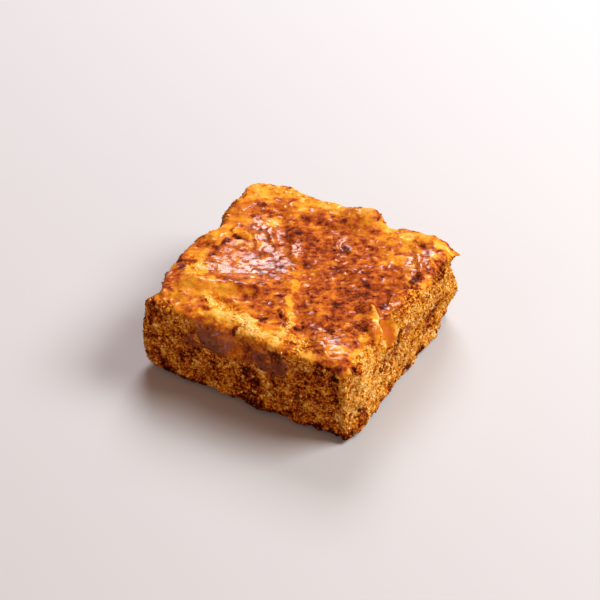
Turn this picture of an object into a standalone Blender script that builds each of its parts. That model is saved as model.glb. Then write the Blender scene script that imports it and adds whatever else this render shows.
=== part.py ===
"""Square portion of a lemon gateau breton, in metres with +Z up.

One baked solid: a crumbly, flat-bottomed body under a puffed and folded crust.
The origin is at the middle of the flat underside, +X runs along the longer sides,
and -Y is the side where the browned crust rolls over the edge.
The shape is worked out in millimetres and scaled to metres at the end.
"""

import math
from typing import NamedTuple

import bmesh
import bpy
from mathutils import Vector, noise

NAME = "gateau_breton"
METRES_PER_MM = 0.001

# Driving dimensions, in millimetres
WIDTH = 71.2
DEPTH = 68.8
HEIGHT = 27.0
CELL = 1.65
SKIRT = 8.0
EDGE_RADIUS = 2.0
ROLLED_EDGE_RADIUS = 5.0
ROLLED_EDGE_MIDDLE = -3.0
ROLLED_EDGE_HALF_LENGTH = 17.0
BOTTOM_CHAMFER = 0.7

# Corner radii in plan, by the signs of x and y
CORNER_RADII = {(-1, -1): 2.6, (1, -1): 3.6, (1, 1): 3.0, (-1, 1): 5.0}

# Least share of an edge's length along an axis for it to count as parallel to it
PARALLEL = 0.99

# Wavelength and height of each layer of unevenness
CRUST_WAVES = ((13.0, 0.6), (6.5, 0.7), (3.9, 0.4))
SIDE_WAVES = ((17.0, 0.5), (7.0, 0.7), (3.8, 0.6))

CRUST_COLOUR = (0.47, 0.17, 0.035, 1.0)
CRUST_ROUGHNESS = 0.5


class Swell(NamedTuple):
    """A rise or hollow of the crust: its middle, half-widths and turn in plan, and its rise."""

    x: float
    y: float
    half_x: float
    half_y: float
    turn: float
    rise: float


class Ridge(NamedTuple):
    """A fold or crack of the crust: its ends in plan, its half-width and its rise."""

    x0: float
    y0: float
    x1: float
    y1: float
    half_width: float
    rise: float


class Push(NamedTuple):
    """A place that stands out or sits back: its middle, half-widths and outward push."""

    x: float
    y: float
    z: float
    half_x: float
    half_y: float
    half_z: float
    push: float


SWELLS = (
    Swell(3, 3, 22, 17, 0, -1.6),  # sunken middle
    Swell(-14, -3, 8, 9, 20, -1.0),  # glossy hollow behind the fold
    Swell(-31, 12, 5, 16, 0, 0.6),  # left rim
    Swell(-21, 31, 7, 6, 0, 1.0),  # back left puff
    Swell(-34, 33, 6, 6, 0, -1.8),  # worn back left corner
    Swell(-11, 34, 3, 5, 0, -0.6),  # dip beside it
    Swell(4.5, 33, 6, 6, 0, 3.0),  # tall puff at the back
    Swell(12.5, 34, 3, 6, 0, -1.2),  # dip beside it
    Swell(24, 31, 8, 6, -10, 1.8),  # back right puff
    Swell(31, 18, 4, 10, 0, 0.9),  # right rim
    Swell(36, 33, 5, 4, 0, -2.0),  # crust turned down at the right corner
    Swell(22, 19, 4, 3, 40, 0.6),  # bare knob
    Swell(30, -2, 3, 4, 20, -0.9),  # nick in the right edge
    Swell(34, -11, 3.5, 3.5, 0, -2.2),  # recess over the slipped facet
    Swell(24, -28, 6, 5, 20, 1.1),  # glossy swelling by the front corner
    Swell(13, -24, 5, 5, 0, -0.7),  # hollow beside it
    Swell(-27, -23, 7, 5, 20, 0.5),  # bare flat of the left corner
    Swell(-34, -32, 4, 4, 0, -1.2),  # worn left corner
)

RIDGES = (
    Ridge(-24, -22, -7, -13, 3.4, 1.6),  # rolled fold of crust
    Ridge(-1, -6, 10, -28, 2.3, 0.8),  # crack that runs to the front
    Ridge(4, -7, 14, -27, 2.2, -0.6),  # furrow along the crack
    Ridge(-18, -24, 8, -26, 2.3, -0.8),  # furrow behind the front band
    Ridge(-14, -30, 12, -31, 2.4, 0.8),  # front band of bare crumb
    Ridge(26, -7, 33, -15, 2.2, 1.2),  # lifted edge above the slipped facet
)

PUSHES = (
    Push(-11, -34, 20, 7.5, 7, 6.0, 1.5),  # rolled crust on the front side, left lobe
    Push(8, -34, 18, 9.0, 7, 5.5, 1.3),  # right lobe
    Push(-2, -34, 12, 2.5, 5, 2.5, -1.1),  # pit under the lobes
    Push(29, -34, 14, 2.8, 5, 3.2, -1.3),  # pit by the front corner
    Push(4, -34, 2, 14.0, 5, 5.0, 1.0),  # scorched foot of the front side
    Push(-35, -34, 14, 4, 4, 14.0, 0.5),  # left corner stands out
    Push(-35, -34, 0, 6, 6, 4.0, -1.2),  # and is worn off at its foot
    Push(35, -11.5, 25, 6, 3.6, 5.0, -2.4),  # slipped facet of the right side
    Push(35, -6, 15, 6, 2.2, 8.0, -0.9),  # groove
    Push(35, -1, 17, 6, 2.2, 8.0, 0.7),  # rib
    Push(35, 4, 15, 6, 2.2, 7.0, -0.7),  # groove
    Push(35, 19, 10, 6, 5.0, 3.0, -0.8),  # torn hollow
    Push(35, 30, 22, 6, 6.0, 3.5, -0.8),  # side set back under the lip
    Push(35, 31, 11, 6, 6.0, 7.0, 0.9),  # swelling below it
    Push(36, 32, 26.5, 5, 2.6, 1.5, 2.6),  # lip at the right corner
    Push(-35, 6, 26, 6, 4.0, 8.0, -1.0),  # notch of the left edge
    Push(-35, 14, 24, 6, 5.0, 7.0, 0.9),  # swelling behind it
    Push(-35, -6, 24, 6, 6.0, 7.0, 1.0),  # swelling in front of it
    Push(-35, -26, 27, 6, 3.5, 7.0, -1.5),  # drawn-in edge by the left corner
    Push(-11, 34, 26, 2.5, 6, 5.0, -0.6),  # back dip, left
    Push(12.5, 34, 26, 3.0, 6, 5.0, -1.0),  # back dip, right
    Push(3, 34, 22, 5.0, 6, 6.0, 1.0),  # back bulge under the tall puff
)


def smooth_step(low, high, value):
    """0 below low, 1 above high and a smooth rise between."""
    share = min(1.0, max(0.0, (value - low) / (high - low)))
    return share * share * (3.0 - 2.0 * share)


def waves(point, layers, offset):
    """Unevenness at a point: one layer of gradient noise for each wavelength."""
    return sum(
        height * noise.noise(point / length + Vector((offset, length, offset)))
        for length, height in layers
    )


def swell_rise(swell, x, y):
    """How far one rise or hollow lifts the crust at a place in plan."""
    turn = math.radians(swell.turn)
    dx, dy = x - swell.x, y - swell.y
    along = (dx * math.cos(turn) + dy * math.sin(turn)) / swell.half_x
    across = (dy * math.cos(turn) - dx * math.sin(turn)) / swell.half_y
    return swell.rise * math.exp(-along * along - across * across)


def ridge_rise(ridge, x, y):
    """How far one fold or crack lifts the crust at a place in plan."""
    start, end = Vector((ridge.x0, ridge.y0)), Vector((ridge.x1, ridge.y1))
    run = end - start
    share = (Vector((x, y)) - start).dot(run) / run.length_squared
    nearest = start + run * min(1.0, max(0.0, share))
    gap = (Vector((x, y)) - nearest).length / ridge.half_width
    return ridge.rise * math.exp(-gap * gap)


def crust_rise(x, y):
    """Height of the crust over its mean level at a place in plan."""
    uneven = waves(Vector((x, y, 0.0)), CRUST_WAVES, 3.7)
    swells = sum(swell_rise(swell, x, y) for swell in SWELLS)
    ridges = sum(ridge_rise(ridge, x, y) for ridge in RIDGES)
    return uneven + swells + ridges


def side_push(point):
    """How far the side stands out at a point, with its crags."""
    total = waves(point, SIDE_WAVES, 11.3)
    for place in PUSHES:
        along = (point.x - place.x) / place.half_x
        across = (point.y - place.y) / place.half_y
        up = (point.z - place.z) / place.half_z
        total += place.push * math.exp(-along * along - across * across - up * up)
    return total


def round_top_edge(point):
    """The point of the block moved onto a rounded top edge, wider where the crust rolls over."""
    past = (point.x - ROLLED_EDGE_MIDDLE) / ROLLED_EDGE_HALF_LENGTH
    rolled = math.exp(-(past**4)) * smooth_step(-DEPTH / 4, -DEPTH / 2, point.y)
    radius = EDGE_RADIUS + (ROLLED_EDGE_RADIUS - EDGE_RADIUS) * rolled
    half_x, half_y = WIDTH / 2 - radius, DEPTH / 2 - radius
    inner = Vector(
        (
            min(half_x, max(-half_x, point.x)),
            min(half_y, max(-half_y, point.y)),
            min(HEIGHT - radius, point.z),
        )
    )
    out = point - inner
    return inner + out.normalized() * min(radius, out.length) if out.length else point


def round_corner(point):
    """The point moved so that the four upright corners are round in plan."""
    signs = (1 if point.x > 0 else -1, 1 if point.y > 0 else -1)
    radius = CORNER_RADII[signs]
    u = (abs(point.x) - WIDTH / 2 + radius) / radius
    v = (abs(point.y) - DEPTH / 2 + radius) / radius
    if u <= 0 or v <= 0:
        return point
    x = WIDTH / 2 - radius + radius * u * math.sqrt(1 - v * v / 2)
    y = DEPTH / 2 - radius + radius * v * math.sqrt(1 - u * u / 2)
    return Vector((signs[0] * x, signs[1] * y, point.z))


def outward(point):
    """The plan direction away from the middle, 0 long inside the skirt and 1 long at a side."""
    half_x, half_y = WIDTH / 2 - SKIRT, DEPTH / 2 - SKIRT
    near_x = min(half_x, max(-half_x, point.x))
    near_y = min(half_y, max(-half_y, point.y))
    out = Vector((point.x - near_x, point.y - near_y, 0.0)) / SKIRT
    return out * min(1.0, out.length)


def sculpted(point):
    """Where a point of the plain block lies on the baked piece."""
    if point.z == 0.0:
        inset = Vector((1 - 2 * BOTTOM_CHAMFER / WIDTH, 1 - 2 * BOTTOM_CHAMFER / DEPTH, 1.0))
        base = round_corner(point * inset)
    else:
        base = round_corner(round_top_edge(point))
    moved = base + outward(base) * side_push(base)
    share = smooth_step(0.35 * HEIGHT, HEIGHT, base.z)
    moved.z += crust_rise(moved.x, moved.y) * share
    return moved


def split_along(mesh, axis, cells):
    """Divides every edge of a block that runs along an axis into equal cells."""
    edges = []
    for edge in mesh.edges:
        run = edge.verts[1].co - edge.verts[0].co
        if abs(run[axis]) > PARALLEL * run.length:
            edges.append(edge)
    bmesh.ops.subdivide_edges(mesh, edges=edges, cuts=cells - 1, use_grid_fill=True)


def plain_block():
    """A closed block in millimetres: even cells on the top and sides, a fan underneath."""
    mesh = bmesh.new()
    bmesh.ops.create_cube(mesh, size=1.0)
    for vert in mesh.verts:
        vert.co.z += 0.5
    for axis, length in enumerate((WIDTH, DEPTH, HEIGHT)):
        split_along(mesh, axis, round(length / CELL))
    under = [face for face in mesh.faces if face.calc_center_median().z == 0.0]
    joined = bmesh.ops.dissolve_faces(mesh, faces=under, use_verts=False)
    bmesh.ops.poke(mesh, faces=joined["region"])
    for vert in mesh.verts:
        vert.co = Vector((vert.co.x * WIDTH, vert.co.y * DEPTH, vert.co.z * HEIGHT))
    return mesh


def centre_over_origin(mesh):
    """Moves the piece so that the middle of its box is over the origin."""
    for axis in (0, 1):
        ends = [vert.co[axis] for vert in mesh.verts]
        middle = (min(ends) + max(ends)) / 2
        for vert in mesh.verts:
            vert.co[axis] -= middle


def crust_material():
    """Egg-washed crust and golden crumb as one plain finish."""
    material = bpy.data.materials.new("baked_crust")
    material.use_nodes = True
    shader = material.node_tree.nodes["Principled BSDF"]
    shader.inputs["Base Color"].default_value = CRUST_COLOUR
    shader.inputs["Roughness"].default_value = CRUST_ROUGHNESS
    shader.inputs["Metallic"].default_value = 0.0
    return material


def make_gateau():
    """The baked piece as one smooth-shaded object in metres."""
    mesh = plain_block()
    for vert in mesh.verts:
        vert.co = sculpted(vert.co)
    centre_over_origin(mesh)
    bmesh.ops.triangulate(mesh, faces=mesh.faces)
    bmesh.ops.recalc_face_normals(mesh, faces=mesh.faces)
    bmesh.ops.scale(mesh, vec=(METRES_PER_MM,) * 3, verts=mesh.verts)
    data = bpy.data.meshes.new(NAME)
    mesh.to_mesh(data)
    mesh.free()
    data.shade_smooth()
    data.materials.append(crust_material())
    return bpy.data.objects.new(NAME, data)


def main():
    """Clears the scene and builds the portion in a collection of its own."""
    for old in list(bpy.data.objects):
        bpy.data.objects.remove(old)
    collection = bpy.data.collections.new("lemon_gateau_breton")
    bpy.context.scene.collection.children.link(collection)
    collection.objects.link(make_gateau())


main()
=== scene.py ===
"""Looks of a lemon gateau breton portion.

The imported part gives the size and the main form. This script lays a fine baked surface over it: an
egg-glazed crust on top, crust that rolled down the front, a thin lip of crust at the far corner,
open crumb round the sides, and grains of crumb that stand out of it. A plain studio follows. Sizes
are in millimetres unless a name says otherwise, and places are in the part's own frame: x runs
along the front, y to the back and z up from the table.
"""

import sys
import logging
from dataclasses import dataclass, field
from enum import Enum, IntEnum
from math import cos, radians, sin

import bmesh
import bpy
import numpy as np
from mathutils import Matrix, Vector, noise


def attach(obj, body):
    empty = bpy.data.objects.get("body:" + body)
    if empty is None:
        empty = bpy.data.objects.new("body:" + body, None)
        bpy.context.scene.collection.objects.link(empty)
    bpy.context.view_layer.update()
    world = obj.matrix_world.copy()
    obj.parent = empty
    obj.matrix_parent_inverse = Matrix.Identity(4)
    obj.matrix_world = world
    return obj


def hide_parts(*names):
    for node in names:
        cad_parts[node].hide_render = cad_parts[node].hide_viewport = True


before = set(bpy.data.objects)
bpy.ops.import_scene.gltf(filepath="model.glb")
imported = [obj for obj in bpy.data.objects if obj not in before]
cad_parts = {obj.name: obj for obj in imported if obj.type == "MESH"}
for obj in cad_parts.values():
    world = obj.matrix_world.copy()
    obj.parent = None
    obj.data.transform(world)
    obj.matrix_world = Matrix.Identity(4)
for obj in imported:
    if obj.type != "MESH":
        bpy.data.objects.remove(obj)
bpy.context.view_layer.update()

LOG = logging.getLogger("gateau_breton")
METRES_PER_MM = 0.001
MM_PER_METRE = 1000.0
NODE = "gateau_breton"
BODY = "root"

# What is painted on every piece, one number at each vertex: how browned it is, with painted shade and
# painted light in it, how far it is open crumb, how thick its glaze is, how far its relief and mottling die
# away, how far it greys, which on the lobes is painted sheen.
MAPS = ("browning_and_shading", "crumb", "glaze", "calm", "dull_and_sheen")

# Where the outside lies, for placing things on it, and how deep a patch is felt under it.
TOP_HEIGHT = 27.0
FRONT_FACE = -34.5
RIGHT_FACE = 35.5
TOP_DEPTH = 9.0
SIDE_DEPTH = 5.4

# An oval is felt fully inside its core and not at all beyond its rim, both in half sizes.
OVAL_CORE = 0.3
OVAL_RIM = 1.7

# A patch shows where it is felt between these, and fraying counts fully from the third on.
PATCH_STARTS = 0.2
PATCH_FULL = 0.8
FULL_FRAY = 1.0 / 3.0

# Even noise swings less than 1 each way, and each field of lumps or beads lies this far off the last.
NOISE_GAIN = 1.6
BEAD_GAIN = 1.5
LUMP_STEP = (17.3, 5.1, 9.7)
BEAD_STEP = (3.9, 21.7, 13.3)

# The middle that a noise node swings round.
NOISE_MIDDLE = 0.5

# Sockets of the mix node: the share, its two numbers, its two colours, and the colour it gives.
MIX_SHARE = 0
MIX_NUMBERS = (2, 3)
MIX_COLOURS = (6, 7)
MIX_COLOUR_OUT = 2

# Short names of types that many hints share.
Triple = tuple[float, float, float]
Colour = Triple
Span = tuple[float, float]
Socket = bpy.types.NodeSocket
Operand = Socket | float


class Bake(float, Enum):
    """How far the cake is browned at a place, from bare pale crumb to black."""

    CREAM = 0.04
    STRAW = 0.14
    HONEY = 0.22
    GOLDEN = 0.31
    AMBER = 0.40
    COPPER = 0.49
    RUSSET = 0.58
    CHESTNUT = 0.68
    UMBER = 0.80
    SCORCHED = 0.95


class Field(IntEnum):
    """The endless random fields, one for each thing that is uneven, so that no two look alike."""

    BEND_X = 1
    BEND_Y = 2
    BEND_Z = 3
    TEAR_X = 4
    TEAR_Y = 5
    TEAR_Z = 6
    CRUST_RIM = 7
    FRAY_BROAD = 8
    FRAY_FINE = 9
    DROPS = 10
    SWELLS = 11
    BLISTERS = 12
    WRINKLES = 13
    STROKES = 14
    CRAGS = 15
    GRAINS = 16
    PITS = 17
    SIDE_BROAD = 21
    SIDE_FINE = 22
    CRUST_BROAD = 23
    CRUST_FINE = 24
    SCORCH_RIM = 25
    LAST_FINE = 26
    LAST_TOP = 27


@dataclass(frozen=True)
class Patch:
    """A place on the cake where a map of its surface takes another value.

    Attributes:
        at: Middle of the patch.
        reach: Its half sizes along its own x, y and z.
        value: What the map takes there.
        turn: Turn of the patch about the upright, in degrees.
        hold: How far the map follows the patch at its middle, 0 to 1.
    """

    at: Triple
    reach: Triple
    value: float
    turn: float = 0.0
    hold: float = 1.0

    def closeness(self, points: np.ndarray) -> np.ndarray:
        """How strongly the patch is felt at each point, 0 to 1."""
        return oval_closeness(points, self.at, self.reach, self.turn)


def on_top(
    x: float, y: float, half_x: float, half_y: float, value: float, turn: float = 0.0, hold: float = 1.0
) -> Patch:
    """A patch of the crust on top, placed in plan."""
    return Patch((x, y, TOP_HEIGHT), (half_x, half_y, TOP_DEPTH), value, turn, hold)


def on_front(x: float, z: float, half_x: float, half_z: float, value: float, hold: float = 1.0) -> Patch:
    """A patch of the front side, placed along it and upwards."""
    return Patch((x, FRONT_FACE, z), (half_x, SIDE_DEPTH, half_z), value, 0.0, hold)


def on_right(y: float, z: float, half_y: float, half_z: float, value: float, hold: float = 1.0) -> Patch:
    """A patch of the right-hand side, placed along it and upwards."""
    return Patch((RIGHT_FACE, y, z), (SIDE_DEPTH, half_y, half_z), value, 0.0, hold)


def smooth_step(low: float, high: float, values: np.ndarray) -> np.ndarray:
    """Soft step from 0 at low to 1 at high."""
    t = np.clip((values - low) / (high - low), 0.0, 1.0)
    return t * t * (3.0 - 2.0 * t)


def oval_closeness(
    points: np.ndarray,
    middle: Triple,
    half_sizes: Triple,
    degrees: float = 0.0,
) -> np.ndarray:
    """How near points are to the middle of an oval.

    Args:
        points: Places on the cake, one a row.
        middle: Middle of the oval.
        half_sizes: Its half sizes along its own x, y and z.
        degrees: Its turn about the upright.

    Returns:
        1 in the core of the oval, a half at a half size from its middle and 0 well outside, for each
        point.
    """
    turn = radians(degrees)
    away = points - np.array(middle)
    along = (away[:, 0] * cos(turn) + away[:, 1] * sin(turn)) / half_sizes[0]
    across = (away[:, 1] * cos(turn) - away[:, 0] * sin(turn)) / half_sizes[1]
    upward = away[:, 2] / half_sizes[2]
    return 1.0 - smooth_step(OVAL_CORE, OVAL_RIM, np.sqrt(along**2 + across**2 + upward**2))


@dataclass(frozen=True)
class Lumps:
    """Soft random lumps.

    Attributes:
        size: Distance from lump to lump.
        strength: How far they swing, each way.
        seed: Which of the endless fields they come from.
    """

    size: float
    strength: float
    seed: Field

    def at(self, points: np.ndarray) -> np.ndarray:
        """Height of the lumps at each point, about -strength to strength."""
        shifted = points / self.size + np.array(LUMP_STEP) * self.seed
        return self.strength * NOISE_GAIN * np.array([noise.noise(place) for place in shifted.tolist()])


def beads(points: np.ndarray, size: float, seed: Field) -> np.ndarray:
    """Packed rounded grains, as crumb has.

    Args:
        points: Places, one a row.
        size: Distance from grain to grain.
        seed: Which of the endless fields of grains to take.

    Returns:
        1 on the crown of a grain and 0 in the gap between grains, for each point.
    """
    shifted = points / size + np.array(BEAD_STEP) * seed
    near = np.array([noise.voronoi(place)[0][:2] for place in shifted.tolist()])
    return np.sqrt(np.clip(BEAD_GAIN * (near[:, 1] - near[:, 0]), 0.0, 1.0))


def stretched(points: np.ndarray, degrees: float, length: float) -> np.ndarray:
    """The points squeezed along one plan direction, so that lumps there come out as streaks.

    Args:
        points: Places, one a row.
        degrees: Direction of the streaks in plan.
        length: How many times longer than wide a streak is.

    Returns:
        The squeezed places.
    """
    turn = radians(degrees)
    along = points[:, 0] * cos(turn) + points[:, 1] * sin(turn)
    across = points[:, 1] * cos(turn) - points[:, 0] * sin(turn)
    return np.stack([along / length, across, points[:, 2]], axis=1)


# Places that several maps share, each as its middle and its half sizes.
SLIPPED_FACET = ((33.7, -8.8, 24.0), (2.6, 2.9, 3.8))
ROLLED_CRUST_LEFT = ((-9.5, -34.8, 25.8), (9.0, 3.0, 2.4))
ROLLED_CRUST_RIGHT = ((3.0, -35.6, 24.6), (5.5, 3.0, 2.0))
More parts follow.
